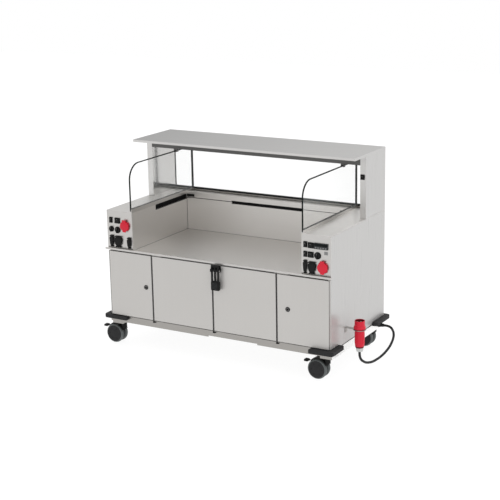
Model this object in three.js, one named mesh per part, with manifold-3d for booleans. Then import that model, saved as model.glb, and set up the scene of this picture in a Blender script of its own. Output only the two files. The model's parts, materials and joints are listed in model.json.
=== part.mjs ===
// A mobile stainless front-cooking station: a cabinet on castors with a recessed worktop between two
// control towers, glass side screens, a top shelf on two posts, and a mains lead parked in a holder.
// Millimetres, +Z up, +X to the operator's right, +Y away from the operator. Z = 0 is the floor.
import * as THREE from 'three';
import { mergeVertices } from 'three/addons/utils/BufferGeometryUtils.js';
import { RoundedBoxGeometry } from 'three/addons/geometries/RoundedBoxGeometry.js';
import Module from 'manifold-3d';

const wasm = await Module();
wasm.setup();

// ---- Driving dimensions ----------------------------------------------------------------------
const HALF_WIDTH = 800; // cabinet centre to a side panel's outer face
const DEPTH = 767; // tower fronts (Y = 0) to the back panel
const SHEET = 3; // folded sheet thickness
const FIT = 0.3; // gap between touching pieces
const SEAM = 5; // visible gap around a door

const BASE_BOTTOM = 143; // underside of the side channels
const FLOOR_TOP = 209; // cabinet floor
const SIDE_BOTTOM = 197; // lower edge of a side panel
const APRON_BOTTOM = 165; // lower edge of the front apron
const APRON_FRONT = -8;
const RETURN = 20; // width of a side panel's folded return
const WORKTOP_TOP = 655.5;
const LIP_BOTTOM = 649.5;
const LIP_TOP = 662;
const LIP_FRONT = -20;
const LIP_RIM = 5;
const LIP_OVERHANG = 8; // lip past each side panel
const TOWER_TOP = 905;
const TOWER_PLATE = 5;
const TOWER_INNER = 605; // centre to a tower's inner face
const WELL_BACK = 650; // front face of the well's back wall
const RIM_TOP = 917; // top of the upstand behind the well

const CHANNEL_WIDTH = 16; // glass channel on a tower's inner edge
const CHANNEL_TOP = 925;
const GLASS_THICKNESS = 7.6;
const GLASS_CENTRE = TOWER_INNER + 8;
const GLASS_TOP = 1213;
const GLASS_CORNER = 105;
const GLASS_BOTTOM = 911.5;
const RAIL_FRONT = 747;
const RAIL_TOP = 926;

const POST_WIDTH = 40;
const POST_FRONT = 481;
const SHELF_FRONT = 324;
const SHELF_BOTTOM = 1292;
const SHELF_TOP = 1308;
const BEAM_BACK = 561;
const BEAM_BOTTOM = 1236;
const CLAMP_Y = 547;

const DOOR_FRONT = -20.5;
const DOOR_BACK = -4.5;
const DOOR_BOTTOM = 215;
const DOOR_TOP = 644;
const DOOR_BORDER = 18; // solid edge of a door around its hollow back
const PIVOT_INSET = 9; // door edge to its hinge line
const SEAM_X = [-452, -3, 446]; // centres of the three vertical door seams
const LOCK_Z = 430.5;

const WHEEL_RADIUS = 62.5;
const WHEEL_WIDTH = 26;
const CASTOR_TRAIL = 56; // stem to wheel axle
const CASTOR_WEB = 18; // thickness of the web between a castor's two wheels
const BRAKE_CLEARANCE = 10; // brake arm's rest gap to the wheels' rim
const CASTOR_X = 746;
const CASTOR_Y = [60, 728];

const BUMPER_BOTTOM = 188;
const BUMPER_TOP = 213;

const CORD_RADIUS = 8;
const PLUG_X = 893;
const PLUG_Y = 200;
const PLUG_BOTTOM = 157;
const COLLAR_Z = 298;
const GLAND_Y = 690;
const GLAND_Z = 166;
const GLAND_LENGTH = 38;

// ---- Materials -------------------------------------------------------------------------------
const finish = (color, roughness, metalness, extra = {}) =>
  new THREE.MeshStandardMaterial({ color, roughness, metalness, ...extra });
const steel = finish(0xc9c8c5, 0.32, 0.85);
const darkSteel = finish(0x8f8c87, 0.35, 0.85);
const blackPlastic = finish(0x1a1b1c, 0.5, 0);
const tyreGrey = finish(0x34373a, 0.6, 0);
const redPlastic = finish(0xd32f3c, 0.4, 0);
const clearGlass = finish(0xe8f2f0, 0.05, 0, { transparent: true, opacity: 0.3 });
const greyMetal = finish(0x4c4f52, 0.45, 0.6);

// ---- Solid helpers ---------------------------------------------------------------------------
const station = new THREE.Group();

function box(x0, x1, y0, y1, z0, z1) {
  const g = new THREE.BoxGeometry(x1 - x0, y1 - y0, z1 - z0);
  return g.translate((x0 + x1) / 2, (y0 + y1) / 2, (z0 + z1) / 2);
}

// A box on the side given by side = -1 (left) or +1 (right), from its distances to the centre plane.
function sideBox(side, x0, x1, y0, y1, z0, z1) {
  return box(Math.min(side * x0, side * x1), Math.max(side * x0, side * x1), y0, y1, z0, z1);
}

function roundedBox(x0, x1, y0, y1, z0, z1, radius, segments = 2) {
  const g = new RoundedBoxGeometry(x1 - x0, y1 - y0, z1 - z0, segments, radius);
  return g.translate((x0 + x1) / 2, (y0 + y1) / 2, (z0 + z1) / 2);
}

// A cylinder along X, Y or Z, centred on the other two coordinates.
function rod(axis, radius, from, to, a, b, sides = 24) {
  const g = new THREE.CylinderGeometry(radius, radius, to - from, sides);
  const mid = (from + to) / 2;
  if (axis === 'x') return g.rotateZ(-Math.PI / 2).translate(mid, a, b);
  if (axis === 'y') return g.translate(a, mid, b);
  return g.rotateX(Math.PI / 2).translate(a, b, mid);
}

// A turned solid from [radius, height] points, with its axis along +Z.
function turned(points, sides = 32) {
  const profile = points.map(([r, h]) => new THREE.Vector2(r, h));
  return new THREE.LatheGeometry(profile, sides).rotateX(Math.PI / 2);
}

function extruded(shape, depth, curveSegments = 8) {
  return new THREE.ExtrudeGeometry(shape, { depth, bevelEnabled: false, curveSegments });
}

function solid(geometry) {
  const g = geometry.clone();
  g.deleteAttribute('normal');
  g.deleteAttribute('uv');
  const merged = mergeVertices(g, 1e-4);
  const triVerts = new Uint32Array(merged.index.array);
  const vertProperties = merged.attributes.position.array;
  return new wasm.Manifold(new wasm.Mesh({ numProp: 3, vertProperties, triVerts }));
}

function geometryOf(body) {
  const mesh = body.getMesh();
  const position = new Float32Array(mesh.numVert * 3);
  for (let i = 0; i < mesh.numVert; i++) {
    position.set(mesh.vertProperties.subarray(i * mesh.numProp, i * mesh.numProp + 3), i * 3);
  }
  const g = new THREE.BufferGeometry();
  g.setAttribute('position', new THREE.BufferAttribute(position, 3));
  g.setIndex(new THREE.BufferAttribute(mesh.triVerts, 1));
  g.computeVertexNormals();
  return g;
}

// Joins every geometry in adds, then cuts every geometry in cuts.
function carve(adds, cuts = []) {
  let body = solid(adds[0]);
  for (const g of adds.slice(1)) body = body.add(solid(g));
  for (const g of cuts) body = body.subtract(solid(g));
  return geometryOf(body);
}

function place(name, geometry, material) {
  const mesh = new THREE.Mesh(geometry, material);
  mesh.name = name;
  station.add(mesh);
  return mesh;
}

const SIDES = [
  { name: 'left', side: -1 },
  { name: 'right', side: 1 },
];

// ---- Chassis and body ------------------------------------------------------------------------
// A floor tray with a front apron and a back apron, on two side channels that carry the castors.
function makeBase() {
  const wall = 4;
  const channel = { inner: 720, top: 192, front: 12, block: 120 }; // block: solid end over a castor
  const trayBottom = 199;
  const aprons = { top: 196, front: APRON_FRONT, recess: [-50, 300], rise: 8 };
  const back = DEPTH - 2;
  const plateEdge = HALF_WIDTH - RETURN - FIT;
  const apronEdge = HALF_WIDTH - wall;
  const apronBack = aprons.front + SHEET;
  const adds = [
    box(-plateEdge, plateEdge, aprons.front, back, trayBottom, FLOOR_TOP),
    box(-apronEdge, apronEdge, aprons.front, apronBack, APRON_BOTTOM, aprons.top),
    box(-plateEdge, plateEdge, aprons.front, apronBack, aprons.top - 1, trayBottom + 1),
    box(-plateEdge, plateEdge, back - SHEET, back, APRON_BOTTOM, trayBottom + 1),
  ];
  const [x0, x1] = aprons.recess;
  const cuts = [box(x0, x1, aprons.front - 1, apronBack + 1, APRON_BOTTOM - 1, APRON_BOTTOM + aprons.rise)];
  for (const { side } of SIDES) {
    const { inner, top, front, block } = channel;
    adds.push(sideBox(side, inner, HALF_WIDTH, front, DEPTH, BASE_BOTTOM, top));
    adds.push(sideBox(side, inner, plateEdge, front, back, top - 1, trayBottom + 1));
    const hollow = [inner + wall, HALF_WIDTH - wall, block, DEPTH - block, BASE_BOTTOM - 1, top - wall];
    cuts.push(sideBox(side, ...hollow));
  }
  place('base_frame', carve(adds, cuts), steel);
}

function makeSidePanels() {
  const top = TOWER_TOP - TOWER_PLATE - FIT;
  for (const { name, side } of SIDES) {
    const inner = HALF_WIDTH - RETURN;
    const panel = carve(
      [
        sideBox(side, HALF_WIDTH - SHEET, HALF_WIDTH, 0, DEPTH, SIDE_BOTTOM + FIT, top),
        sideBox(side, inner, HALF_WIDTH - 1, 0, SHEET, SIDE_BOTTOM + FIT, WORKTOP_TOP - FIT),
        sideBox(side, inner, HALF_WIDTH - 1, DEPTH - SHEET, DEPTH, SIDE_BOTTOM + FIT, top),
      ],
      [sideBox(side, inner - 1, HALF_WIDTH + 1, -1, SHEET + FIT, WORKTOP_TOP - FIT, top + 1)],
    );
    place(`${name}_side_panel`, panel, steel);
  }
}

// The back panel with the two upright partitions that divide the cabinet into three bays.
function makeCarcass() {
  const edge = HALF_WIDTH - RETURN - FIT;
  const backFront = DEPTH - SHEET - FIT;
  const post = { reach: 12, front: 5, back: 20 }; // door stop on each partition's front edge
  const adds = [
    box(-edge, edge, backFront, DEPTH - FIT, FLOOR_TOP + FIT, TOWER_TOP - TOWER_PLATE - FIT),
  ];
  const partitionTop = WORKTOP_TOP - 2 - FIT;
  for (const x of [SEAM_X[0], SEAM_X[2]]) {
    const half = SHEET / 2;
    adds.push(box(x - half, x + half, post.front + 1, DEPTH - SHEET, FLOOR_TOP + FIT, partitionTop));
    const { reach, front, back } = post;
    adds.push(box(x - reach, x + reach, front, back, FLOOR_TOP + FIT, LIP_BOTTOM - FIT));
  }
  place('carcass', carve(adds), darkSteel);
}

function makeWorktop() {
  const edge = HALF_WIDTH - RETURN - FIT;
  const plateBack = DEPTH - SHEET - 2 * FIT;
  const lipEdge = HALF_WIDTH + LIP_OVERHANG;
  const wellEdge = TOWER_INNER - FIT;
  const plateBottom = WORKTOP_TOP - 2;
  const stepTop = WORKTOP_TOP - 1; // under the towers, a step below the well's floor
  const top = carve([
    box(-edge, edge, 0, plateBack, plateBottom, stepTop),
    box(-wellEdge, wellEdge, -1, WELL_BACK - FIT, plateBottom, WORKTOP_TOP),
    box(-lipEdge, lipEdge, LIP_FRONT, -FIT, LIP_BOTTOM, WORKTOP_TOP),
    box(-lipEdge, lipEdge, LIP_FRONT, LIP_FRONT + LIP_RIM, LIP_BOTTOM, LIP_TOP),
  ]);
  place('worktop', top, steel);
}

// Three walls around the well, with the ledge behind them and the air intake slots.
function makeWellLiner() {
  const bottom = WORKTOP_TOP + FIT;
  const wallTop = TOWER_TOP - TOWER_PLATE - FIT;
  const outer = TOWER_INNER + SHEET;
  const back = WELL_BACK + SHEET;
  const adds = [
    box(-outer, outer, WELL_BACK, back, bottom, wallTop),
    box(-TOWER_INNER + FIT, TOWER_INNER - FIT, WELL_BACK, back, wallTop - 1, RIM_TOP),
    box(-TOWER_INNER + FIT, TOWER_INNER - FIT, WELL_BACK, DEPTH, TOWER_TOP - SHEET, TOWER_TOP),
  ];
  const slit = { end: TOWER_INNER - 7, z: [874, 878] };
  const intake = { x: [-251, 272], z: [867, 880] };
  const sideIntake = { front: 275, bottom: 870 };
  const cuts = [
    box(-slit.end, slit.end, WELL_BACK - 1, back + 1, ...slit.z),
    box(...intake.x, WELL_BACK - 1, back + 1, ...intake.z),
  ];
  for (const { side } of SIDES) {
    adds.push(sideBox(side, TOWER_INNER, outer, SHEET + FIT, back, bottom, wallTop));
    const { front, bottom: sill } = sideIntake;
    cuts.push(sideBox(side, TOWER_INNER - 1, outer + 1, front, WELL_BACK - 1, sill, TOWER_TOP));
  }
  place('well_liner', carve(adds, cuts), darkSteel);
}

// Each tower's top and front in one sheet, with the channel that grips the side glass.
function makeTowerCovers() {
  const inner = TOWER_INNER + FIT;
  const channelOuter = inner + CHANNEL_WIDTH;
  const plateBottom = TOWER_TOP - TOWER_PLATE;
  const half = GLASS_THICKNESS / 2 + FIT;
  const groove = [GLASS_CENTRE - half, GLASS_CENTRE + half];
  const grooveBottom = GLASS_BOTTOM - 0.5;
  for (const { name, side } of SIDES) {
    const cover = carve(
      [
        sideBox(side, inner, HALF_WIDTH, 0, DEPTH, plateBottom, TOWER_TOP),
        sideBox(side, inner, HALF_WIDTH, 0, SHEET, WORKTOP_TOP + FIT, plateBottom + 1),
        sideBox(side, inner, channelOuter, 0, RAIL_FRONT - FIT, TOWER_TOP - 1, CHANNEL_TOP),
      ],
      [sideBox(side, ...groove, -1, DEPTH, grooveBottom, CHANNEL_TOP + 1)],
    );
    place(`${name}_tower_cover`, cover, steel);
  }
}

// Two hollow posts and the shelf that they carry, welded into one bridge.
function makeSuperstructure() {
  const inner = HALF_WIDTH - POST_WIDTH;
  const pan = inner - 4; // the shelf's hollow underside ends just short of the posts
  const back = DEPTH - SHEET;
  const adds = [box(-HALF_WIDTH, HALF_WIDTH, SHELF_FRONT, DEPTH, SHELF_BOTTOM, SHELF_TOP)];
  const cuts = [box(-pan, pan, SHELF_FRONT + SHEET, back, SHELF_BOTTOM - 1, SHELF_TOP - SHEET)];
  for (const { side } of SIDES) {
    adds.push(sideBox(side, inner, HALF_WIDTH, POST_FRONT, DEPTH, TOWER_TOP + FIT, SHELF_BOTTOM + 1));
    const x = [inner + SHEET, HALF_WIDTH - SHEET];
    cuts.push(sideBox(side, ...x, POST_FRONT + SHEET, back, TOWER_TOP - 1, SHELF_BOTTOM));
  }
  place('superstructure', carve(adds, cuts), steel);
}

// The lamp housing under the shelf, with the two clamps that hold the side glass.
function makeHoodBeam() {
  const edge = HALF_WIDTH - POST_WIDTH - FIT;
  const front = POST_FRONT - 1;
  const top = SHELF_BOTTOM - FIT;
  const hollow = edge - SHEET;
  const adds = [box(-edge, edge, front, BEAM_BACK, BEAM_BOTTOM, top)];
  const cuts = [box(-hollow, hollow, front + SHEET, BEAM_BACK - SHEET, BEAM_BOTTOM + SHEET, top + 1)];
  const clamp = { x: 11, y: 12, bottom: GLASS_TOP - 10 }; // half sizes across and along the glass
  const slot = GLASS_THICKNESS / 2 + FIT;
  for (const { side } of SIDES) {
    const jaw = [GLASS_CENTRE - clamp.x, GLASS_CENTRE + clamp.x, CLAMP_Y - clamp.y, CLAMP_Y + clamp.y];
    const mouth = [GLASS_CENTRE - slot, GLASS_CENTRE + slot, CLAMP_Y - clamp.y - 1, CLAMP_Y + clamp.y + 1];
    adds.push(sideBox(side, ...jaw, clamp.bottom, BEAM_BOTTOM + 1));
    cuts.push(sideBox(side, ...mouth, clamp.bottom - 1, GLASS_TOP + FIT));
  }
  place('hood_beam', carve(adds, cuts), greyMetal);
}

function makeGlazing() {
  const edge = HALF_WIDTH - POST_WIDTH - FIT;
  const pane = { front: RAIL_FRONT + 6, back: DEPTH - 8 };
  const grooveBottom = 912;
  const groove = [pane.front - FIT, pane.back + FIT, grooveBottom, RAIL_TOP + 1];
  const rail = carve(
    [box(-edge, edge, RAIL_FRONT, DEPTH, TOWER_TOP + FIT, RAIL_TOP)],
    [box(-edge - 1, edge + 1, ...groove)],
  );
  place('rear_glass_rail', rail, blackPlastic);
  const rearX = edge - FIT;
  const rearZ = [grooveBottom + FIT, SHELF_BOTTOM - FIT];
  place('rear_glass', box(-rearX, rearX, pane.front, pane.back, ...rearZ), clearGlass);
  for (const { name, side } of SIDES) {
    const front = 0.5;
    const back = RAIL_FRONT - 0.5;
    const outline = new THREE.Shape();
    outline.moveTo(front, GLASS_BOTTOM);
    outline.lineTo(back, GLASS_BOTTOM);
    outline.lineTo(back, GLASS_TOP);
    outline.lineTo(front + GLASS_CORNER, GLASS_TOP);
    outline.absarc(front + GLASS_CORNER, GLASS_TOP - GLASS_CORNER, GLASS_CORNER, Math.PI / 2, Math.PI);
    outline.closePath();
    const sheet = extruded(outline, GLASS_THICKNESS, 12);
    // The outline is drawn in Y and Z, so local X turns to Y, local Y to Z and local Z to X.
    sheet.applyMatrix4(new THREE.Matrix4().set(0, 0, 1, 0, 1, 0, 0, 0, 0, 1, 0, 0, 0, 0, 0, 1));
    sheet.translate(side * GLASS_CENTRE - GLASS_THICKNESS / 2, 0, 0);
    place(`${name}_side_glass`, sheet, clearGlass);
  }
}

// ---- Inner units -----------------------------------------------------------------------------
// The extraction unit is a thin closed casing with a round inlet. The power box is open in front.
function makeInnerUnits() {
  const wall = 2;
  const unit = { x0: 480, x1: 740, y0: 260, y1: 700, z0: 212, z1: 500 };
  const inletRadius = 95;
  const middle = [(unit.x0 + unit.x1) / 2, (unit.z0 + unit.z1) / 2];
  const shrunk = ({ x0, x1, y0, y1, z0, z1 }, by) =>
    box(x0 + by, x1 - by, y0 + by, y1 - by, z0 + by, z1 - by);
  const casing = carve(
    [shrunk(unit, 0)],
    [shrunk(unit, wall), rod('y', inletRadius, unit.y0 - 1, unit.y0 + wall + 1, ...middle, 32)],
  );
  place('extraction_unit', casing, greyMetal);
  const power = { x0: -740, x1: -500, y0: 600, y1: 740, z0: 300, z1: 600 };
  const inside = shrunk({ ...power, y0: power.y0 - 2 * wall }, wall);
  place('power_box', carve([shrunk(power, 0)], [inside]), greyMetal);
}

// ---- Doors and their hardware ----------------------------------------------------------------
const DOORS = [
  { name: 'left_door', x0: -780, x1: SEAM_X[0] - SEAM / 2, hinge: -1, lock: -501 },
  { name: 'centre_left_door', x0: SEAM_X[0] + SEAM / 2, x1: SEAM_X[1] - SEAM / 2, hinge: -1 },
  { name: 'centre_right_door', x0: SEAM_X[1] + SEAM / 2, x1: SEAM_X[2] - SEAM / 2, hinge: 1 },
  { name: 'right_door', x0: SEAM_X[2] + SEAM / 2, x1: HALF_WIDTH, hinge: 1, lock: 522 },
];
const PIVOT_Y = (DOOR_FRONT + DOOR_BACK) / 2;
const PIVOT_RADIUS = 4;
const LOCK_BARREL = 10;

function makeDoor(door) {
  const pivotX = door.hinge < 0 ? door.x0 + PIVOT_INSET : door.x1 - PIVOT_INSET;
  const adds = [
    box(door.x0, door.x1, DOOR_FRONT, DOOR_BACK, DOOR_BOTTOM, DOOR_TOP),
    rod('z', PIVOT_RADIUS, BUMPER_TOP + FIT, DOOR_BOTTOM + 1, pivotX, PIVOT_Y, 16),
    rod('z', PIVOT_RADIUS, DOOR_TOP - 1, LIP_BOTTOM - 1, pivotX, PIVOT_Y, 16),
  ];
  const cuts = [
    box(
      door.x0 + DOOR_BORDER,
      door.x1 - DOOR_BORDER,
      DOOR_FRONT + SHEET,
      DOOR_BACK + 1,
      DOOR_BOTTOM + DOOR_BORDER,
      DOOR_TOP - DOOR_BORDER,
    ),
  ];
  if (door.lock !== undefined) {
    cuts.push(rod('y', LOCK_BARREL + FIT, DOOR_FRONT - 1, DOOR_BACK, door.lock, LOCK_Z));
  }
  place(door.name, carve(adds, cuts), steel);
}

// A quarter-turn lock: a round head in front, a barrel through the door and a cam behind it.
function makeLock(door) {
  const head = { radius: 14.5, front: DOOR_FRONT - 4 };
  const cam = { reach: 26, half: 6, front: DOOR_BACK - 8, back: DOOR_BACK - 5 };
  const key = { half: 1.5, reach: 6, depth: 2 };
  const camX = door.hinge < 0 ? [door.lock, door.lock + cam.reach] : [door.lock - cam.reach, door.lock];
  const at = [door.lock, LOCK_Z];
  const around = (half) => [LOCK_Z - half, LOCK_Z + half];
  const keySlot = [head.front - 1, head.front + key.depth, ...around(key.reach)];
  const lock = carve(
    [
      rod('y', head.radius, head.front, DOOR_FRONT - FIT, ...at, 32),
      rod('y', LOCK_BARREL, DOOR_FRONT - 1, cam.back, ...at, 24),
      box(...camX, cam.front, cam.back, ...around(cam.half)),
    ],
    [box(door.lock - key.half, door.lock + key.half, ...keySlot)],
  );
  place(`${door.name}_lock`, lock, blackPlastic);
}

const HANDLE = { x: 32, z: 615, y: -45, bottom: 490, top: 649, half: 27, pin: 4 };

// A back plate with two ears, and a slotted lever that hangs from the pin through them.
function makeHandle() {
  const { x, y, z, bottom, top, half, pin } = HANDLE;
  const plate = { front: DOOR_FRONT - FIT - SHEET, back: DOOR_FRONT - FIT, half: half + 1 };
  const ear = { thickness: 3.5, front: y - 7, z: [z - 10, z + 10] };
  const between = (a, b) => [Math.min(a, b), Math.max(a, b)];
  const adds = [box(x - plate.half, x + plate.half, plate.front, plate.back, ear.z[0], DOOR_TOP - 2)];
  for (const side of [-1, 1]) {
    const outer = x + side * (plate.half + ear.thickness);
    adds.push(box(...between(x + side * plate.half, outer), ear.front, plate.back, ...ear.z));
    adds.push(box(...between(x + side * (plate.half - 2), outer), plate.front, plate.back, ...ear.z));
  }
  const bracket = carve(adds, [rod('x', pin + FIT, x - 2 * half, x + 2 * half, y, z)]);
  place('handle_bracket', bracket, blackPlastic);

  const grip = { front: y - 8, back: y + 14, height: 55 };
  // two upright slots, each interrupted by the pin
  const slot = { from: 5, to: 18 };
  const windows = [[bottom + grip.height + 5, z - 6], [z + 6, top - 12]];
  const lever = carve(
    [
      box(x - half, x + half, y - 5, y + 5, bottom + grip.height - 5, top),
      box(x - half, x + half, grip.front, grip.back, bottom, bottom + grip.height),
      rod('x', pin, x - half - 7, x + half + 7, y, z),
    ],
    [-1, 1].flatMap((side) => {
      const across = between(x + side * slot.from, x + side * slot.to);
      return windows.map((span) => box(...across, y - 6, y + 6, ...span));
    }),
  );
  place('handle_lever', lever, blackPlastic);
}

// ---- Castors ---------------------------------------------------------------------------------
// An arched outline over the wheels, from one angle to another, as a plate across the castor.
function arch(outer, inner, from, to, halfWidth, x, y) {
  const outline = new THREE.Shape();
  outline.absarc(0, 0, outer, from, to);
  outline.absarc(0, 0, inner, to, from, true);
  outline.closePath();
  const plate = extruded(outline, 2 * halfWidth, 10).rotateX(Math.PI / 2);
  return plate.translate(x, y + halfWidth, WHEEL_RADIUS);
}

// The fork: a web between the wheels, a crown over them, and the stem. The web reaches the axle.
function makeFork(name, stemX, stemY, axleX) {
  const stem = { radius: 11, collar: 20, from: 2 * WHEEL_RADIUS - 25, collarTop: 140 };
  const web = { outer: WHEEL_RADIUS + 6, from: Math.PI * 0.12, to: Math.PI * 0.8 };
  const crown = { outer: WHEEL_RADIUS + 7, inner: WHEEL_RADIUS + 3, half: 30 };
  const axleHole = 5.3;
  const half = CASTOR_WEB / 2;
  const hood = new THREE.Shape();
  hood.absarc(0, 0, web.outer, web.from, web.to);
  hood.lineTo(-WHEEL_RADIUS * 0.3, 0);
  hood.lineTo(0, -8);
  hood.lineTo(10, 0);
  hood.closePath();
  const webPlate = extruded(hood, CASTOR_WEB, 10).rotateX(Math.PI / 2);
  webPlate.translate(axleX, stemY + half, WHEEL_RADIUS);
  const wheelRoom = (side) => {
    const from = stemY + side * (half + 1);
    const to = stemY + side * WHEEL_RADIUS;
    const span = [Math.min(from, to), Math.max(from, to)];
    return rod('y', WHEEL_RADIUS + 2, ...span, axleX, WHEEL_RADIUS, 40);
  };
  const fork = carve(
    [
      webPlate,
      arch(crown.outer, crown.inner, Math.PI * 0.14, Math.PI * 0.62, crown.half, axleX, stemY),
      rod('z', stem.collar, stem.from, stem.collarTop, stemX, stemY, 24),
      rod('z', stem.radius, stem.collarTop - 4, BASE_BOTTOM - 2 * FIT, stemX, stemY, 24),
    ],
    [
      rod('y', axleHole, stemY - crown.half, stemY + crown.half, axleX, WHEEL_RADIUS),
      wheelRoom(-1),
      wheelRoom(1),
    ],
  );
  place(`${name}_castor_fork`, fork, blackPlastic);
}

// Two wheels with sloped treads on one axle.
function makeWheels(name, stemY, axleX) {
  const axle = { radius: 5, half: 15 };
  const inner = CASTOR_WEB / 2 + 2;
  const profile = [
    [0, 0],
    [WHEEL_RADIUS - 4, 0],
    [WHEEL_RADIUS, 5],
    [WHEEL_RADIUS, WHEEL_WIDTH - 10],
    [WHEEL_RADIUS - 6, WHEEL_WIDTH],
    [0, WHEEL_WIDTH + 1],
  ];
  const wheel = (side) => {
    const tyre = turned(profile, 36).rotateX((side > 0 ? -1 : 1) * (Math.PI / 2));
    return tyre.translate(axleX, stemY + side * inner, WHEEL_RADIUS);
  };
  const pin = rod('y', axle.radius, stemY - axle.half, stemY + axle.half, axleX, WHEEL_RADIUS, 24);
  place(`${name}_castor_wheels`, carve([wheel(-1), wheel(1), pin]), tyreGrey);
}

// A pedal behind the wheels on a short arm that follows the fork's curve.
function makeBrake(name, stemY, axleX) {
  const pedal = { back: 34.5, front: 7, half: 16, bottom: 31, top: 45, radius: 4 };
  const arm = { back: 14, front: 40, half: 7, bottom: 35, top: 43 };
  const rimX = axleX - WHEEL_RADIUS;
  const z = ({ bottom, top }) => [WHEEL_RADIUS + bottom, WHEEL_RADIUS + top];
  const y = ({ half }) => [stemY - half, stemY + half];
  const plate = roundedBox(rimX - pedal.back, rimX - pedal.front, ...y(pedal), ...z(pedal), pedal.radius);
  const bar = box(rimX - arm.back, axleX - arm.front, ...y(arm), ...z(arm));
  const room = [stemY - 2 * pedal.half, stemY + 2 * pedal.half];
  const rim = rod('y', WHEEL_RADIUS + BRAKE_CLEARANCE, ...room, axleX, WHEEL_RADIUS, 40);
  place(`${name}_castor_brake`, carve([plate, bar], [rim]), blackPlastic);
}

function makeCastor(name, stemX, stemY, braked) {
  const axleX = stemX - CASTOR_TRAIL;
  makeFork(name, stemX, stemY, axleX);
  makeWheels(name, stemY, axleX);
  if (braked) makeBrake(name, stemY, axleX);
}

function makeCastors() {
  for (const { name, side } of SIDES) {
    makeCastor(`front_${name}`, side * CASTOR_X, CASTOR_Y[0], true);
    makeCastor(`rear_${name}`, side * CASTOR_X, CASTOR_Y[1], false);
  }
}

// ---- Corner bumpers --------------------------------------------------------------------------
// An L seen from above: one leg along the front or back, one along the side. Each corner of the
// outline has its own rounding.
function bumper(points, radii) {
  const outline = new THREE.Shape();
  const count = points.length;
  points.forEach((corner, i) => {
    if (radii[i] === 0) {
      outline.lineTo(corner[0], corner[1]);
      return;
    }
    const before = points[(i + count - 1) % count];
    const after = points[(i + 1) % count];
    const towards = (target) =>
      new THREE.Vector2(...target).sub(new THREE.Vector2(...corner)).setLength(radii[i]);
    const start = towards(before).add(new THREE.Vector2(...corner));
    const end = towards(after).add(new THREE.Vector2(...corner));
    if (i === 0) outline.moveTo(start.x, start.y);
    else outline.lineTo(start.x, start.y);
    outline.quadraticCurveTo(corner[0], corner[1], end.x, end.y);
  });
  outline.closePath();
  return extruded(outline, BUMPER_TOP - BUMPER_BOTTOM, 4).translate(0, 0, BUMPER_BOTTOM);
}

function makeBumpers() {
  // reach: inner end of the leg along the front or back; face: its outer face; out: proud of the side
  const front = {
    left: { reach: -656, face: -37, out: 33, back: 110 },
    right: { reach: 674, face: -58, out: 38, back: 106 },
  };
  const rear = { reach: 690, out: 36, front: 582, back: DEPTH + 24 };
  const frontFace = APRON_FRONT - FIT;
  const rearFace = DEPTH + FIT;
  for (const { name, side } of SIDES) {
    const inFace = side * (HALF_WIDTH + FIT);
    const { reach, face, out, back } = front[name];
    const frontOut = side * (HALF_WIDTH + out);
    const rearOut = side * (HALF_WIDTH + rear.out);
    const frontOutline = [
      [reach, face],
      [frontOut, face],
      [frontOut, back],
      [inFace, back],
      [inFace, frontFace],
      [reach, frontFace],
    ];
    const rearOutline = [
      [side * rear.reach, rearFace],
      [inFace, rearFace],
      [inFace, rear.front],
      [rearOut, rear.front],
      [rearOut, rear.back],
      [side * rear.reach, rear.back],
    ];
    place(`front_${name}_bumper`, bumper(frontOutline, [6, 26, 16, 2, 0, 2]), blackPlastic);
    place(`rear_${name}_bumper`, bumper(rearOutline, [2, 0, 6, 26, 22, 8]), blackPlastic);
  }
}

// ---- Mains lead ------------------------------------------------------------------------------
// The plug stands in its holder, pins up. The cord hangs from it to the gland in the side channel.
const CORD_ROUTE = [
  [893, 200, 156.7],
  [893, 200, 139],
  [893.5, 204, 121],
  [896, 215, 100],
  [902, 245, 76],
  [907, 271, 63],
  [914, 302, 55],
  [921, 338, 51],
  [928, 377, 53],
  [935, 415, 58],
  [941, 453, 67],
  [945, 490, 78],
  [947, 527, 91],
  [945, 564, 106],
  [939, 602, 123],
  [927, 636, 139],
  [908, 663, 153],
  [882, 684, 163],
  [857, 690, 166],
  [838.3, 690, 166],
];

function makeCord() {
  const points = CORD_ROUTE.map((p) => new THREE.Vector3(...p));
  const curve = new THREE.CatmullRomCurve3(points, false, 'centripetal');
  const ring = new THREE.Shape();
  ring.absarc(0, 0, CORD_RADIUS, 0, 2 * Math.PI);
  const sweep = { steps: 36, extrudePath: curve, curveSegments: 5, bevelEnabled: false };
  place('power_cord', new THREE.ExtrudeGeometry(ring, sweep), blackPlastic);
}

// A five-pin plug: cable gland, tapered body, gripping collar, and an open shroud around the pins.
function makePlug() {
  const body = 30.5;
  const collar = { radius: 36.5, from: COLLAR_Z - PLUG_BOTTOM, height: 17 };
  const shroud = { outer: 31.5, inner: 28.3, top: 195, floor: 147 };
  const shell = turned([
    [0, 0],
    [18, 0],
    [22, 10],
    [25, 25],
    [28, 26],
    [body, 40],
    [body, collar.from],
    [collar.radius, collar.from + 2],
    [collar.radius, collar.from + collar.height],
    [collar.radius - 3.5, collar.from + collar.height + 3],
    [shroud.outer, shroud.top],
    [shroud.inner, shroud.top],
    [shroud.inner, shroud.floor],
    [0, shroud.floor],
  ]);
  shell.translate(PLUG_X, PLUG_Y, PLUG_BOTTOM);
  const pin = { count: 5, circle: 17, radius: 3, earthRadius: 4, top: 185 };
  const adds = [shell];
  for (let i = 0; i < pin.count; i++) {
    const angle = Math.PI / 2 + (i * 2 * Math.PI) / pin.count;
    const x = PLUG_X + pin.circle * Math.cos(angle);
    const y = PLUG_Y + pin.circle * Math.sin(angle);
    const z = [PLUG_BOTTOM + shroud.floor - 1, PLUG_BOTTOM + pin.top];
    adds.push(rod('z', i === 0 ? pin.earthRadius : pin.radius, ...z, x, y, 12));
  }
  place('mains_plug', carve(adds), redPlastic);
}

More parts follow.
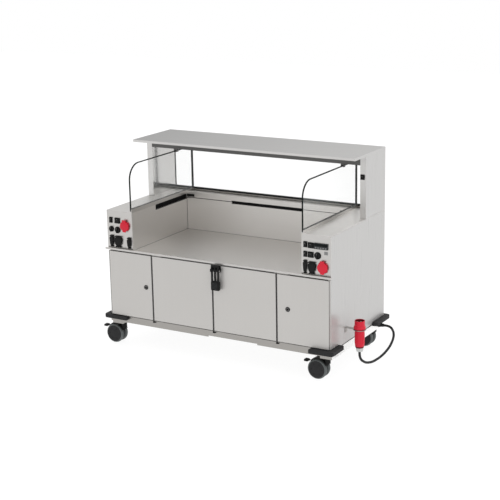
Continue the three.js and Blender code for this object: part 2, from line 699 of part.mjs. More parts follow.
// The strain relief in the side channel: a hexagon-like nut, then a tapering sleeve around the cord.
function makeGland() {
  const nut = { radius: 16, length: 8 };
  const length = GLAND_LENGTH - FIT;
  const gland = turned([
    [0, 0],
    [nut.radius, 0],
    [nut.radius, nut.length],
    [13, nut.length + 1],
    [13, 22],
    [11, 32],
    [9.5, length],
    [0, length],
  ], 24);
  gland.rotateY(Math.PI / 2).translate(HALF_WIDTH + FIT, GLAND_Y, GLAND_Z);
  place('cable_gland', gland, blackPlastic);
}

// A ring under the plug's collar, on an arm that is bolted to the side panel.
function makeHolder() {
  const ring = { outer: 40, inner: 31.4 };
  const arm = { half: 13, end: PLUG_X - 30, drop: 32 };
  const wall = HALF_WIDTH + FIT;
  const top = COLLAR_Z - 1;
  const y = [PLUG_Y - arm.half, PLUG_Y + arm.half];
  const holder = carve(
    [
      rod('z', ring.outer, top - SHEET, top, PLUG_X, PLUG_Y, 40),
      box(wall, arm.end, ...y, top - SHEET, top),
      box(wall, wall + SHEET, ...y, top - arm.drop, top),
    ],
    [rod('z', ring.inner, top - SHEET - 1, top + 1, PLUG_X, PLUG_Y, 40)],
  );
  place('plug_holder', holder, steel);
}

// ---- Controls --------------------------------------------------------------------------------
// X is measured from the left edge of the whole station; every control sits just off the panel.
const PANEL_GAP = 0.5;
const atX = (x) => x - HALF_WIDTH;

function makeRocker(name, x0, x1, z0, z1, panelY = 0) {
  const proud = [11, 4]; // front and back faces, ahead of the panel
  const key = roundedBox(atX(x0), atX(x1), panelY - proud[0], panelY - proud[1], z0, z1, 1.5, 1);
  place(name, key, blackPlastic);
}

// A disc with a finger bar across it.
function makeKnob(name, x, z, radius) {
  const discFront = -9;
  const bar = { front: -16, half: 4, reach: radius - 2 };
  const knob = carve([
    rod('y', radius, discFront, -PANEL_GAP, atX(x), z, 32),
    box(atX(x) - bar.half, atX(x) + bar.half, bar.front, discFront + 1, z - bar.reach, z + bar.reach),
  ]);
  place(name, knob, blackPlastic);
}

// A flat sprung lid with its hinge barrel along its top edge.
function makeSocketLid(name, x0, x1, z0, z1) {
  const lid = { front: -14, back: -7 };
  const barrel = { radius: 4, y: -10, inset: 4 };
  const z = z1 - barrel.radius;
  const body = carve([
    roundedBox(atX(x0), atX(x1), lid.front, lid.back, z0, z, 2, 1),
    rod('x', barrel.radius, atX(x0) + barrel.inset, atX(x1) - barrel.inset, barrel.y, z, 12),
  ]);
  place(name, body, blackPlastic);
}

// A round sprung lid over a power socket, with a finger lip below and a tongue to its hinge above.
function makePowerLid(name, x, z, radius) {
  const disc = { front: -18, back: -9 };
  const lip = { half: 14, below: radius + 6 };
  const tongue = { half: 12, front: -16, from: radius - 8 };
  const barrel = { radius: 4, half: 14, y: -13, z: z + radius + 5 };
  const across = [atX(x) - tongue.half, atX(x) + tongue.half];
  const lid = carve([
    rod('y', radius, disc.front, disc.back, atX(x), z, 40),
    box(...across, tongue.front, disc.back, z + tongue.from, barrel.z),
    box(atX(x) - lip.half, atX(x) + lip.half, disc.front, disc.back, z - lip.below, z),
    rod('x', barrel.radius, atX(x) - barrel.half, atX(x) + barrel.half, barrel.y, barrel.z, 12),
  ]);
  place(name, lid, redPlastic);
}

function makeControls() {
  makeRocker('left_outer_switch', 21, 42, 823, 861);
  makeRocker('left_inner_switch', 63, 101, 823, 860);
  makeKnob('left_outer_knob', 33, 783, 19);
  makeKnob('left_inner_knob', 81, 780, 22);
  makePowerLid('left_power_lid', 141, 811, 32);
  makeSocketLid('left_outer_socket_lid', 21, 49, 668, 743);
  makeSocketLid('left_middle_socket_lid', 58, 115, 668, 741);
  makeSocketLid('left_inner_socket_lid', 156, 184, 668, 739);
  makeRocker('right_upper_inner_switch', 1421, 1444, 824, 860);
  makeRocker('right_upper_outer_switch', 1450, 1487, 822, 857);
  makeRocker('right_lower_inner_switch', 1421, 1444, 766, 801);
  makeRocker('right_lower_outer_switch', 1450, 1486, 765, 800);
  const controller = roundedBox(atX(1491), atX(1581), -9, -PANEL_GAP, 822, 858, 2, 1);
  place('temperature_controller', controller, greyMetal);
  makeKnob('right_knob', 1513, 781, 22);
  makeSocketLid('right_inner_socket_lid', 1420, 1444, 668, 747);
  makeSocketLid('right_outer_socket_lid', 1451, 1504, 668, 741);
  makePowerLid('right_power_lid', 1548, 712, 33);
  makeRocker('lamp_switch', 1563, 1590, 1149, 1181, POST_FRONT);
}

// ---- Assembly --------------------------------------------------------------------------------
makeBase();
makeSidePanels();
makeCarcass();
makeWorktop();
makeWellLiner();
makeTowerCovers();
makeSuperstructure();
makeHoodBeam();
makeGlazing();
makeInnerUnits();
for (const door of DOORS) {
  makeDoor(door);
  if (door.lock !== undefined) makeLock(door);
}
makeHandle();
makeCastors();
makeBumpers();
makeCord();
makePlug();
makeGland();
makeHolder();
makeControls();

// The origin is the middle of the footprint of everything except the lead and its plug.
const ON_THE_CORD = ['power_cord', 'mains_plug', 'cable_gland'];
const footprint = new THREE.Box3();
for (const mesh of station.children) {
  if (!ON_THE_CORD.includes(mesh.name)) footprint.expandByObject(mesh);
}
const middle = footprint.getCenter(new THREE.Vector3());
station.position.set(-middle.x, -middle.y, 0);

export default station;
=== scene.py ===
"""The look of a mobile stainless steam table unit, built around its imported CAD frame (metres, +Z up)."""
import json
import math

import bmesh
import bpy
from mathutils import Matrix, Vector


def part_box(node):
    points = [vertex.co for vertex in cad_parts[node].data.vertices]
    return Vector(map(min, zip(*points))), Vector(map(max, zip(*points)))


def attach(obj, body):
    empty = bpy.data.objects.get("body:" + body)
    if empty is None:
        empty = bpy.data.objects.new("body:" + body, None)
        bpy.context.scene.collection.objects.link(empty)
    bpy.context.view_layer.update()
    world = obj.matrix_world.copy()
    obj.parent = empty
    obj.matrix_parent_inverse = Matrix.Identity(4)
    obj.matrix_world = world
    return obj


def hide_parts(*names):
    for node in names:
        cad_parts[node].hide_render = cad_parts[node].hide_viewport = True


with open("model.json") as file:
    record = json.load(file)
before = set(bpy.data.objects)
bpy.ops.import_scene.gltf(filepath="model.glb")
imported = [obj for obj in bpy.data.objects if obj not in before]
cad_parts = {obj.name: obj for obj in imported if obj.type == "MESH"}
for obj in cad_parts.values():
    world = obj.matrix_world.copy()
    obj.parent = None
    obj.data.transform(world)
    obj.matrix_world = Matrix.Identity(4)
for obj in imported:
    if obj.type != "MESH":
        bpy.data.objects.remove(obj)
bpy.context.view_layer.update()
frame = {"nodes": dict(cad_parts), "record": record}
SCENE = bpy.context.scene
MM = 0.001

# ---- Camera ----
CAMERA_AT = Vector((3.8821, -6.6602, 2.7092))
CAMERA_AZIMUTH = math.radians(30.06)
CAMERA_ELEVATION = math.radians(14.99)
CAMERA_ROLL = math.radians(-1.02)
CAMERA_LENS = 89.92


def make_camera():
    a, e, r = CAMERA_AZIMUTH, CAMERA_ELEVATION, CAMERA_ROLL
    back = Vector((math.sin(a) * math.cos(e), -math.cos(a) * math.cos(e), math.sin(e)))
    right = (-back).cross(Vector((0, 0, 1))).normalized()
    up = right.cross(-back)
    tilted_right = right * math.cos(r) + up * math.sin(r)
    tilted_up = up * math.cos(r) - right * math.sin(r)
    data = bpy.data.cameras.new("camera")
    data.lens = CAMERA_LENS
    data.sensor_width = 36
    data.clip_end = 60
    camera = bpy.data.objects.new("camera", data)
    SCENE.collection.objects.link(camera)
    turn = Matrix((tilted_right, tilted_up, back)).transposed().to_4x4()
    camera.matrix_world = Matrix.Translation(CAMERA_AT) @ turn
    SCENE.camera = camera


# ---- Materials ----
class Nodes:
    """A new node material with small helpers for wiring it."""

    def __init__(self, name):
        self.material = bpy.data.materials.new(name)
        self.material.use_nodes = True
        self.tree = self.material.node_tree
        self.shader = self.tree.nodes["Principled BSDF"]
        self.coords = self.tree.nodes.new("ShaderNodeTexCoord").outputs["Object"]

    def add(self, kind, inputs=(), **settings):
        node = self.tree.nodes.new(kind)
        for key, value in settings.items():
            setattr(node, key, value)
        for key, value in dict(inputs).items():
            self.feed(node.inputs[key], value)
        return node

    def feed(self, socket, value):
        """Sets an input, or links it when the value is another node's output."""
        if isinstance(value, bpy.types.NodeSocket):
            self.tree.links.new(value, socket)
        else:
            socket.default_value = value

    def stretched(self, scale):
        return self.add("ShaderNodeMapping", {"Vector": self.coords, "Scale": scale}).outputs["Vector"]

    def noise(self, vector, scale, detail=3.0, roughness=0.5):
        made = self.add(
            "ShaderNodeTexNoise",
            {"Vector": vector, "Scale": scale, "Detail": detail, "Roughness": roughness},
        )
        return made.outputs["Fac"]

    def spread(self, value, low, high, start=0.3, end=0.7):
        made = self.add(
            "ShaderNodeMapRange",
            {"Value": value, "From Min": start, "From Max": end, "To Min": low, "To Max": high},
        )
        return made.outputs["Result"]

    def blend(self, factor, first, second):
        # The colour sockets of a mix node are numbers 6 and 7 going in, and 2 coming out.
        return self.add("ShaderNodeMix", {0: factor, 6: first, 7: second}, data_type="RGBA").outputs[2]

    def bump(self, height, strength, distance):
        inputs = {"Height": height, "Strength": strength, "Distance": distance}
        self.set(Normal=self.add("ShaderNodeBump", inputs).outputs["Normal"])

    def set(self, **values):
        for key, value in values.items():
            self.feed(self.shader.inputs[key.replace("_", " ")], value)


def grey(value, warm=0.0):
    """A grey, with more red and less blue by about the given share for a warmer one."""
    return (value * (1.0 + 0.8 * warm), value, value * (1.0 - warm), 1.0)


def brushed(name, shade, roughness, grain, warm=0.04, strength=0.05, painted_light_right=None, metallic=1.0):
    """Stainless sheet: hairline grain along one axis, faint cloudy drift of tone.

    A right-hand shade makes the tone change evenly from the left end of the station to the right, as painted
    light.
    """
    n = Nodes(name)
    lines = n.noise(n.stretched(grain), 1.0, 3.0, 0.5)
    clouds = n.noise(n.coords, 1.7, 2.0, 0.5)
    # Painted light: the base tone goes evenly from the left-hand shade to the right-hand shade across the
    # station.
    across = n.add("ShaderNodeSeparateXYZ", {"Vector": n.coords}).outputs["X"]
    tone = n.blend(
        n.spread(across, 0.0, 1.0, -0.8, 0.8), grey(shade, warm), grey(painted_light_right or shade, warm)
    )
    tone = n.blend(n.spread(clouds, 0.025, 0.0), tone, grey(0.0))
    tone = n.blend(n.spread(lines, 0.0, 0.015), tone, grey(0.0))
    n.set(Base_Color=tone, Roughness=n.spread(lines, roughness - 0.03, roughness + 0.03), Metallic=metallic)
    n.bump(lines, strength, 0.0001)
    return n.material


def moulded(name, colour, roughness, grain=900.0, strength=0.15, dust=0.02, specular=0.25):
    """Moulded plastic or rubber: a fine spark-eroded grain, slight tone drift and a little dust."""
    n = Nodes(name)
    fine = n.noise(n.coords, grain, 2.0, 0.6)
    drift = n.noise(n.coords, 14.0, 3.0, 0.5)
    lighter = tuple(min(1.0, c + dust * 0.5 + c * 0.15) for c in colour[:3]) + (1.0,)
    tone = n.blend(n.spread(drift, 0.0, 0.5, 0.35, 0.8), colour, lighter)
    n.set(
        Base_Color=tone,
        Roughness=n.spread(drift, roughness - 0.04, roughness + 0.08),
        Specular_IOR_Level=specular,
    )
    n.bump(fine, strength, 0.00015)
    return n.material


def plain(name, colour, roughness, metallic=0.0, grain=60.0, drift=0.1, specular=0.5):
    """A finish with a slow drift of tone and gloss, for small fittings, glass edges and lamps."""
    n = Nodes(name)
    cloud = n.noise(n.coords, grain, 3.0, 0.5)
    darker = tuple(c * (1.0 - drift) for c in colour[:3]) + (1.0,)
    n.set(
        Base_Color=n.blend(n.spread(cloud, 0.0, 1.0), darker, colour),
        Roughness=n.spread(cloud, max(0.02, roughness - 0.04), roughness + 0.05),
        Metallic=metallic,
        Specular_IOR_Level=specular,
    )
    n.bump(cloud, 0.05, 0.0001)
    return n.material


def pane_glass(name):
    """Clear toughened glass: see-through, with a faint smear in its gloss."""
    n = Nodes(name)
    smear = n.noise(n.coords, 6.0, 3.0, 0.6)
    n.set(
        Base_Color=n.blend(n.spread(smear, 0.0, 1.0), (0.86, 0.91, 0.9, 1.0), (0.93, 0.97, 0.96, 1.0)),
        Roughness=n.spread(smear, 0.01, 0.06),
        Alpha=0.05,
        IOR=1.5,
    )
    return n.material


def rubber_tread(name, colour):
    """Soft wheel tread: fine scuffing round the tyre and a little floor dust."""
    n = Nodes(name)
    scuff = n.noise(n.stretched((300.0, 40.0, 300.0)), 1.0, 3.0, 0.6)
    dust = n.noise(n.coords, 30.0, 3.0, 0.6)
    light = tuple(min(1.0, c * 1.5 + 0.02) for c in colour[:3]) + (1.0,)
    tone = n.blend(n.spread(dust, 0.0, 0.7, 0.4, 0.75), colour, light)
    n.set(Base_Color=tone, Roughness=n.spread(scuff, 0.5, 0.7))
    n.bump(scuff, 0.2, 0.0003)
    return n.material


# Brushing: the noise is stretched along one axis.
ALONG_X = (3.0, 900.0, 900.0)
ALONG_Z = (900.0, 900.0, 3.0)

# These steels, down to the pale copy, are one stainless sheet in copies whose shades are painted light: most
# are set lighter or darker for how the light falls on the faces they cover, so the side panels are lighter
# than the doors, the shelf top is darker and the well is lighter. The tower tops, shelf and well are also
# painted lighter towards the right, and the pale copy is painted light on the side panels' front edges and
# the base frame's outer sides.
STEEL_DOOR = brushed("door_steel", 0.505, 0.4, ALONG_Z, 0.035, metallic=0.5)
STEEL_SIDE = brushed("side_steel", 0.485, 0.3, ALONG_Z, 0.015, 0.02, metallic=0.4)
STEEL_TOWER = brushed("tower_steel", 0.53, 0.34, ALONG_X, 0.03)
STEEL_TOP_PAINTED_LIGHT = brushed("tower_top_steel_painted_light", 0.54, 0.42, ALONG_X, 0.03, 0.05, 0.8)
STEEL_SHELF_PAINTED_SHADE = brushed("shelf_steel", 0.255, 0.34, ALONG_X, 0.02, 0.05, 0.43)
STEEL_POST = brushed("post_steel", 0.58, 0.36, ALONG_Z, 0.02)
STEEL_MIRROR = brushed("mirror_steel", 0.55, 0.14, ALONG_Z, 0.02, 0.02)
STEEL_WELL_PAINTED_LIGHT = brushed("well_steel_painted_light", 0.64, 0.42, ALONG_X, 0.035, 0.05, 0.67)
STEEL_BASE = brushed("base_steel", 0.35, 0.36, ALONG_X, 0.05)
STEEL_PAINTED_LIGHT = brushed("pale_steel_painted_light", 0.93, 0.3, ALONG_Z, 0.01)
ZINC = plain("zinc_sheet", (0.42, 0.43, 0.43, 1.0), 0.5, 0.7, 25.0, 0.25)
BEAM = brushed("beam_metal", 0.11, 0.42, ALONG_X, 0.02)
BLACK = moulded("black_plastic", grey(0.007), 0.42, specular=0.12)
# Soft black rubber, also used for a painted shadow strip along the hood beam.
BLACK_SOFT = moulded("black_rubber", (0.014, 0.014, 0.015, 1.0), 0.62, 700.0, 0.3)
CHARCOAL = moulded("charcoal_plastic", (0.02, 0.022, 0.023, 1.0), 0.5, 600.0, 0.2)
RED = moulded("red_plastic", (0.56, 0.008, 0.028, 1.0), 0.36, 500.0, 0.08, 0.005, 0.3)
# Dark red plastic for the plug's sealing ring, also used as painted shade inside the plug's shroud.
RED_DARK = moulded("dark_red_plastic_and_painted_shade", (0.12, 0.004, 0.009, 1.0), 0.45, 500.0, 0.08, 0.005, 0.2)
PALE_GREY = moulded("pale_grey_plastic", (0.5, 0.51, 0.5, 1.0), 0.45, 500.0, 0.1)
# Grey plastic for the controller keys and rating plate, also used as painted shade in the well's inside
# corners.
KEY_GREY = moulded("key_grey_plastic_and_painted_shade", grey(0.2), 0.5, 500.0, 0.1)
TYRE = rubber_tread("tyre_grey", (0.075, 0.083, 0.083, 1.0))
GLASS = pane_glass("clear_glass")
GLASS_EDGE = plain("glass_edge", (0.004, 0.006, 0.006, 1.0), 0.4, 0.0, 40.0, 0.3, 0.1)
BRIGHT = plain("bright_fitting", (0.72, 0.71, 0.69, 1.0), 0.22, 1.0, 80.0, 0.15)
BRASS = plain("pin_metal", (0.6, 0.56, 0.46, 1.0), 0.25, 1.0, 80.0, 0.2)
# Black for the filter cassettes, and painted shade in screw recesses, louvre openings and round the intake
# slots.
DARK_GAP = plain("filter_black_and_painted_shade", grey(0.006), 0.7, 0.0, 200.0, 0.4, 0.2)
MARK = plain("printed_mark", (0.4, 0.4, 0.38, 1.0), 0.5, 0.0, 90.0, 0.1)
LAMP = plain("lamp_diffuser", (0.5, 0.5, 0.48, 1.0), 0.35, 0.0, 20.0, 0.1)


# ---- Mesh building ----
BODY_OF = {
    node: body
    for body, nodes in frame["record"]["behaviour"]["bodies"].items()
    for node in nodes
}
UP, FRONT, BACK = (0, 0, 1), (0, -1, 0), (0, 1, 0)
# Edges that turn more than SHARP are softened. Faces within SMOOTH of each other shade as one.
SHARP = math.radians(32)
SMOOTH = math.radians(50)
# CAD points within WELD are one point, and faces within FLAT of each other are one flat.
WELD = 0.01 * MM
FLAT = math.radians(0.5)
# A face looks along an axis when its normal's share of that axis is over LOOKS_ALONG.
LOOKS_ALONG = 0.9
# A radius under ON_AXIS is a point on the axis, and a softening under TOO_FINE is left out.
ON_AXIS, TOO_FINE, NO_LENGTH = 1e-7, 1e-6, 1e-12


def turns(count):
    """Evenly spaced angles, once round."""
    return [2 * math.pi * i / count for i in range(count)]


def around_y(angle):
    """The unit vector at an angle about the Y axis, from +X towards +Z."""
    return Vector((math.cos(angle), 0, math.sin(angle)))


class Piece:
    """One visible piece, built up from bevelled solids that may each have their own material."""

    def __init__(self, name):
        self.name = name
        self.mesh = bmesh.new()
        self.materials = []

    def take(self, part, material):
        """Joins a finished part into the piece."""
        if material not in self.materials:
            self.materials.append(material)
        for face in part.faces:
            face.material_index = self.materials.index(material)
        bmesh.ops.recalc_face_normals(part, faces=part.faces)
        carrier = bpy.data.meshes.new("carrier")
        part.to_mesh(carrier)
        part.free()
        self.mesh.from_mesh(carrier)
        bpy.data.meshes.remove(carrier)

    def block(self, lo, hi, material, edge=0.6, segments=2):
        """A box between two corners, its edges softened by a width in millimetres."""
        part = bmesh.new()
        bmesh.ops.create_cube(part, size=1.0)
        for v in part.verts:
            v.co = Vector(lo[i] + (hi[i] - lo[i]) * (v.co[i] + 0.5) for i in range(3))
        soften(part, min(edge * MM, 0.45 * min(abs(hi[i] - lo[i]) for i in range(3))), segments)
        self.take(part, material)

    def slab(self, xs, ys, zs, material, edge=0.6, segments=2):
        """A box given as three pairs in the station's own millimetres, either end first."""
        lo, hi = zip(*(sorted(pair) for pair in (xs, ys, zs)))
        self.block(at(*lo), at(*hi), material, edge, segments)

    def border(self, xs, ys, zs, wide, high, material, edge=0.6, overlap=0.0):
        """Four bars round the inside of a rectangle. The upright ones run its whole height."""
        for x in (xs[0], xs[1] - wide):
            self.block((x, ys[0], zs[0]), (x + wide, ys[1], zs[1]), material, edge)
        inset = wide - overlap
        for z in (zs[0], zs[1] - high):
            self.block((xs[0] + inset, ys[0], z), (xs[1] - inset, ys[1], z + high), material, edge)

    def turned(self, profile, origin, axis, material, sides=40, unit=MM):
        """A lathed solid: [radius, distance] pairs along axis from origin, closed on the axis."""
        part = bmesh.new()
        turn = Vector(UP).rotation_difference(Vector(axis)).to_matrix()
        rings = []
        for radius, height in ((r * unit, h * unit) for r, h in profile):
            if radius < ON_AXIS:
                points = [Vector((0, 0, height))]
            else:
                points = [Vector((radius * math.cos(a), radius * math.sin(a), height)) for a in turns(sides)]
            rings.append([part.verts.new(Vector(origin) + turn @ point) for point in points])
        for one, two in zip(rings, rings[1:]):
            for i in range(sides):
                j = (i + 1) % sides
                if len(one) == 1 and len(two) > 1:
                    part.faces.new((one[0], two[i], two[j]))
                elif len(two) == 1 and len(one) > 1:
                    part.faces.new((one[i], one[j], two[0]))
                elif len(one) > 1:
                    part.faces.new((one[i], one[j], two[j], two[i]))
        for end in (rings[0], rings[-1]):
            if len(end) > 1:
                part.faces.new(end)
        self.take(part, material)

    def prism(self, outline, lo, hi, axis, material, edge=0.5, segments=2):
        """An outline of [a, b] points pushed along axis 0, 1 or 2 from lo to hi."""
        part = bmesh.new()
        others = [i for i in range(3) if i != axis]
        ends = []
        for depth in (lo, hi):
            ring = []
            for a, b in outline:
                co = [0.0, 0.0, 0.0]
                co[axis], co[others[0]], co[others[1]] = depth, a, b
                ring.append(part.verts.new(co))
            ends.append(ring)
        part.faces.new(ends[0])
        part.faces.new(ends[1])
        for i in range(len(outline)):
            j = (i + 1) % len(outline)
            part.faces.new((ends[0][i], ends[0][j], ends[1][j], ends[1][i]))
        bmesh.ops.recalc_face_normals(part, faces=part.faces)
        soften(part, edge * MM, segments)
        self.take(part, material)

    def screw(self, centre, axis, radius=3.2 * MM, material=None):
        """A low domed screw head with a cross recess drawn as a dark cross, painted shade, seated on a face
        that looks along axis.
        """
        height = 0.45 * radius
        outward = Vector(axis)
        dome = [(radius, 0), (radius, 0.3 * height), (0.75 * radius, 0.85 * height), (0, height)]
        self.turned(dome, centre, axis, material or BRIGHT, 20, 1)
        flat = [i for i in range(3) if abs(outward[i]) < 0.5]
        # Painted shade: the cross recess is two dark bars on the dome.
        for long, short in (flat, flat[::-1]):
            reach = Vector((0, 0, 0))
            reach[long] = 0.55 * radius
            reach[short] = 0.12 * radius
            base = Vector(centre) + outward * height * 0.9
            depth = Vector(abs(c) for c in outward) * height * 0.15
            self.block(base - reach - depth, base + reach + depth, DARK_GAP, 0.05, 1)

    def done(self, replaces=(), body="cabinet"):
        """Turns the finished mesh into an object that rides on a body."""
        data = bpy.data.meshes.new(self.name)
        self.mesh.to_mesh(data)
        self.mesh.free()
        for material in self.materials:
            data.materials.append(material)
        return settle(bpy.data.objects.new(self.name, data), body, replaces)


def settle(obj, body, replaces=()):
    """Links a finished object, shades it, and tells the frame what it is."""
    SCENE.collection.objects.link(obj)
    if obj.type == "MESH":
        for face in obj.data.polygons:
            face.use_smooth = True
        keep_flats_flat(obj.data)
    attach(obj, body)
    if replaces:
        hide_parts(*replaces)
    return obj


def keep_flats_flat(mesh):
    """Corner normals weighted by face area, so that a big flat face stays flat beside its soft edge."""
    around = [[] for _ in mesh.vertices]
    for face in mesh.polygons:
        for corner in face.vertices:
            around[corner].append((face.normal.copy(), face.area))
    limit = math.cos(SMOOTH)
    normals = []
    for face in mesh.polygons:
        for corner in face.vertices:
            total = Vector((0, 0, 0))
            for normal, area in around[corner]:
                if normal.dot(face.normal) > limit:
                    total += normal * area
            normals.append(total.normalized() if total.length > NO_LENGTH else face.normal)
    mesh.normals_split_custom_set(normals)


def soften(part, width, segments=2):
    """Rounds a part's sharp edges, by a width in metres."""
    edges = [e for e in part.edges if len(e.link_faces) == 2 and e.calc_face_angle(0.0) > SHARP]
    if width > TOO_FINE and edges:
        bmesh.ops.bevel(
            part, geom=edges, offset=width, segments=segments, profile=0.5, affect="EDGES",
            clamp_overlap=False,
        )


def cad_mesh(node):
    """A copy of a CAD part, with the faces of each flat joined into one."""
    part = bmesh.new()
    part.from_mesh(frame["nodes"][node].data)
    bmesh.ops.remove_doubles(part, verts=part.verts, dist=WELD)
    bmesh.ops.dissolve_limit(part, angle_limit=FLAT, verts=part.verts, edges=part.edges)
    return part


def polish(node, material, edge=0.8, segments=2, facing=()):
    """The CAD part with its flat faces joined and every fold and cut edge softened.

    Each facing is a direction, the material of the faces that look that way, and how far the
    nearest and the farthest of them may lie from the centre plane. Most facings give a lighter
    or darker copy of the steel, painted light for the side the faces look to.
    """
    part = cad_mesh(node)
    soften(part, edge * MM, segments)
    piece = Piece(node + "_shell")
    piece.take(part, material)
    piece.mesh.normal_update()
    for direction, other, nearest, farthest in facing:
        if other not in piece.materials:
            piece.materials.append(other)
        for face in piece.mesh.faces:
            aside = abs(face.calc_center_median().x - STATION.x) / MM
            if face.normal.dot(Vector(direction)) > LOOKS_ALONG and nearest < aside < farthest:
                face.material_index = piece.materials.index(other)
    return piece.done((node,), BODY_OF[node])


def box_of(node):
    """A CAD part's lowest corner, highest corner and middle."""
    lo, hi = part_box(node)
    return lo, hi, (lo + hi) / 2


def foot_of(node):
    """The middle of a CAD part's underside."""
    lo, _, mid = box_of(node)
    return Vector((mid.x, mid.y, lo.z))


# The station's own zero: its centre plane, the tower fronts, and the floor.
TOWER_LEFT, TOWER_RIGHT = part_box("left_tower_cover"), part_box("right_tower_cover")
STATION = Vector(((TOWER_LEFT[0].x + TOWER_RIGHT[1].x) / 2, TOWER_LEFT[0].y, 0.0))


def at(x, y, z):
    """A point given in the station's own millimetres."""
    return STATION + Vector((x, y, z)) * MM


# ---- Mains lead ----
CORD_RADIUS = 8 * MM
# The cord's middle line from the plug to the gland, as in the part, in millimetres from the
# station's own centre plane and tower fronts.
CORD_ROUTE = [
    (893, 200, 156.7), (893, 200, 139), (893.5, 204, 121), (896, 215, 100),
    (902, 245, 76), (907, 271, 63), (914, 302, 55), (921, 338, 51),
    (928, 377, 53), (935, 415, 58), (941, 453, 67), (945, 490, 78),
    (947, 527, 91), (945, 564, 106), (939, 602, 123), (927, 636, 139),
    (908, 663, 153), (882, 684, 163), (857, 690, 166), (838.3, 690, 166),
]


def make_cord():
    points = [at(*p) for p in CORD_ROUTE]
    curve = bpy.data.curves.new("power_cord_flex", "CURVE")
    curve.dimensions = "3D"
    curve.bevel_depth = CORD_RADIUS * 0.97
    curve.bevel_resolution = 5
    curve.resolution_u = 8
    curve.use_fill_caps = True
    spline = curve.splines.new("BEZIER")
    spline.bezier_points.add(len(points) - 1)
    for knot, point in zip(spline.bezier_points, points):
        knot.co = point
        knot.handle_left_type = knot.handle_right_type = "AUTO"
    curve.materials.append(BLACK_SOFT)
    cord = bpy.data.objects.new("power_cord_flex", curve)
    return settle(cord, "cabinet", ("power_cord",)), points


def make_plug():
    """The lower half of the plug, which grips the lead: clamp nut, sealing ring and ribbed barrel."""
    foot = foot_of("mains_plug")
    piece = Piece("mains_plug_grip")
    nut = [(0, 0), (19, 0), (22, 2), (22.5, 11), (25, 12), (25, 22), (23.5, 23.5), (0, 23.5)]
    piece.turned(nut, foot, UP, PALE_GREY, 6)
    collar = [(0, 23), (22, 23), (25, 25), (27, 28), (27, 32), (25.5, 33.5), (0, 33.5)]
    piece.turned(collar, foot, UP, RED_DARK)
    barrel = [
        (0, 33), (26, 33), (28, 35), (28.6, 40), (29.2, 46), (29.6, 54), (29.6, 128), (29, 133.6), (0, 133.6),
    ]
    piece.turned(barrel, foot, UP, RED, 56)
    for angle in turns(14):
        piece.take(grip_rib(foot, angle), RED)
    return piece.done(("mains_plug",))


def grip_rib(foot, angle):
    """One upright finger rib on the plug's barrel."""
    spoke = Vector((math.cos(angle), math.sin(angle), 0))
    across = Vector((-spoke.y, spoke.x, 0)) * 2.2 * MM
    outline = [(29.2, 50), (30.5, 54), (30.5, 119), (29.2, 124), (27, 124), (27, 50)]
    part = bmesh.new()
    near, far = (
        [part.verts.new(foot + spoke * r * MM + Vector((0, 0, h * MM)) + side * across) for r, h in outline]
        for side in (-1, 1)
    )
    part.faces.new(near)
    part.faces.new(far[::-1])
    for k in range(len(outline)):
        j = (k + 1) % len(outline)
        part.faces.new((near[j], near[k], far[k], far[j]))
    bmesh.ops.recalc_face_normals(part, faces=part.faces)
    soften(part, 0.6 * MM)
    return part


def make_plug_head():
    """The upper half of the plug: knurled collar, open shroud, pin carrier and pins."""
    foot = foot_of("mains_plug")
    piece = Piece("mains_plug_head")
    shroud = [
        (0, 134), (29.6, 134), (30.3, 137), (30.3, 141.5), (35.4, 142.8), (36.4, 145), (36.4, 155),
        (35.4, 158), (33.4, 160), (31.3, 162), (31.3, 193), (30.8, 194.8), (28.8, 194.8), (28.3, 193),
        (28.3, 149), (0, 149),
    ]
    piece.turned(shroud, foot, UP, RED, 56)
    for a in turns(26):
        spot = foot + Vector((35.7 * math.cos(a), 35.7 * math.sin(a), 145.5)) * MM
        piece.turned([(0, 0), (0.9, 0), (0.9, 9), (0, 9)], spot, UP, RED, 8)
    key_low, key_high = Vector((-3.2, -33.4, 163)) * MM, Vector((3.2, -30.6, 192)) * MM
    piece.block(foot + key_low, foot + key_high, RED)
    # A darker red layer inside the shroud: painted shade in its hollow.
    inner_layer = [(28.25, 150), (28.25, 193), (27.5, 193), (27.5, 150)]
    piece.turned(inner_layer, foot, UP, RED_DARK, 56)
    carrier = [(0, 148.5), (26.5, 148.5), (26.5, 162), (25.5, 163.5), (0, 163.5)]
    piece.turned(carrier, foot, UP, CHARCOAL)
    for i, angle in enumerate(turns(5)):
        a = angle + math.pi / 2
        radius = 4 if i == 0 else 3
        spot = foot + Vector((17 * math.cos(a), 17 * math.sin(a), 163)) * MM
        tip = [(0, 0), (radius, 0), (radius, 20), (0.6 * radius, 21.5), (0, 21.5)]
        piece.turned(tip, spot, UP, BRASS, 20)
    piece.done()


def make_gland():
    """The strain relief: a flange, a hexagon nut, and a ribbed sleeve that narrows to the cord."""
    lo, _, mid = box_of("cable_gland")
    along = (1, 0, 0)
    wall = Vector((lo.x, mid.y, mid.z))
    piece = Piece("cable_gland_nut")
    piece.turned([(0, 0), (15.8, 0), (15.8, 1.6), (15, 2.4), (0, 2.4)], wall, along, CHARCOAL)
    hexagon = [(0, 2), (15.2, 2), (15.8, 3), (15.8, 8.6), (15.2, 9.6), (0, 9.6)]
    piece.turned(hexagon, wall, along, CHARCOAL, 6)
    sleeve = [(0, 9)]
    for i in range(9):
        start, radius = 9.4 + 3.1 * i, 13.2 - 0.42 * i
        groove = radius - 0.7
        sleeve += [(radius, start), (radius, start + 2.1), (groove, start + 2.4), (groove, start + 3)]
    sleeve += [(9.2, 37.6), (0, 37.6)]
    piece.turned(sleeve, wall, along, BLACK_SOFT)
    return piece.done(("cable_gland",))


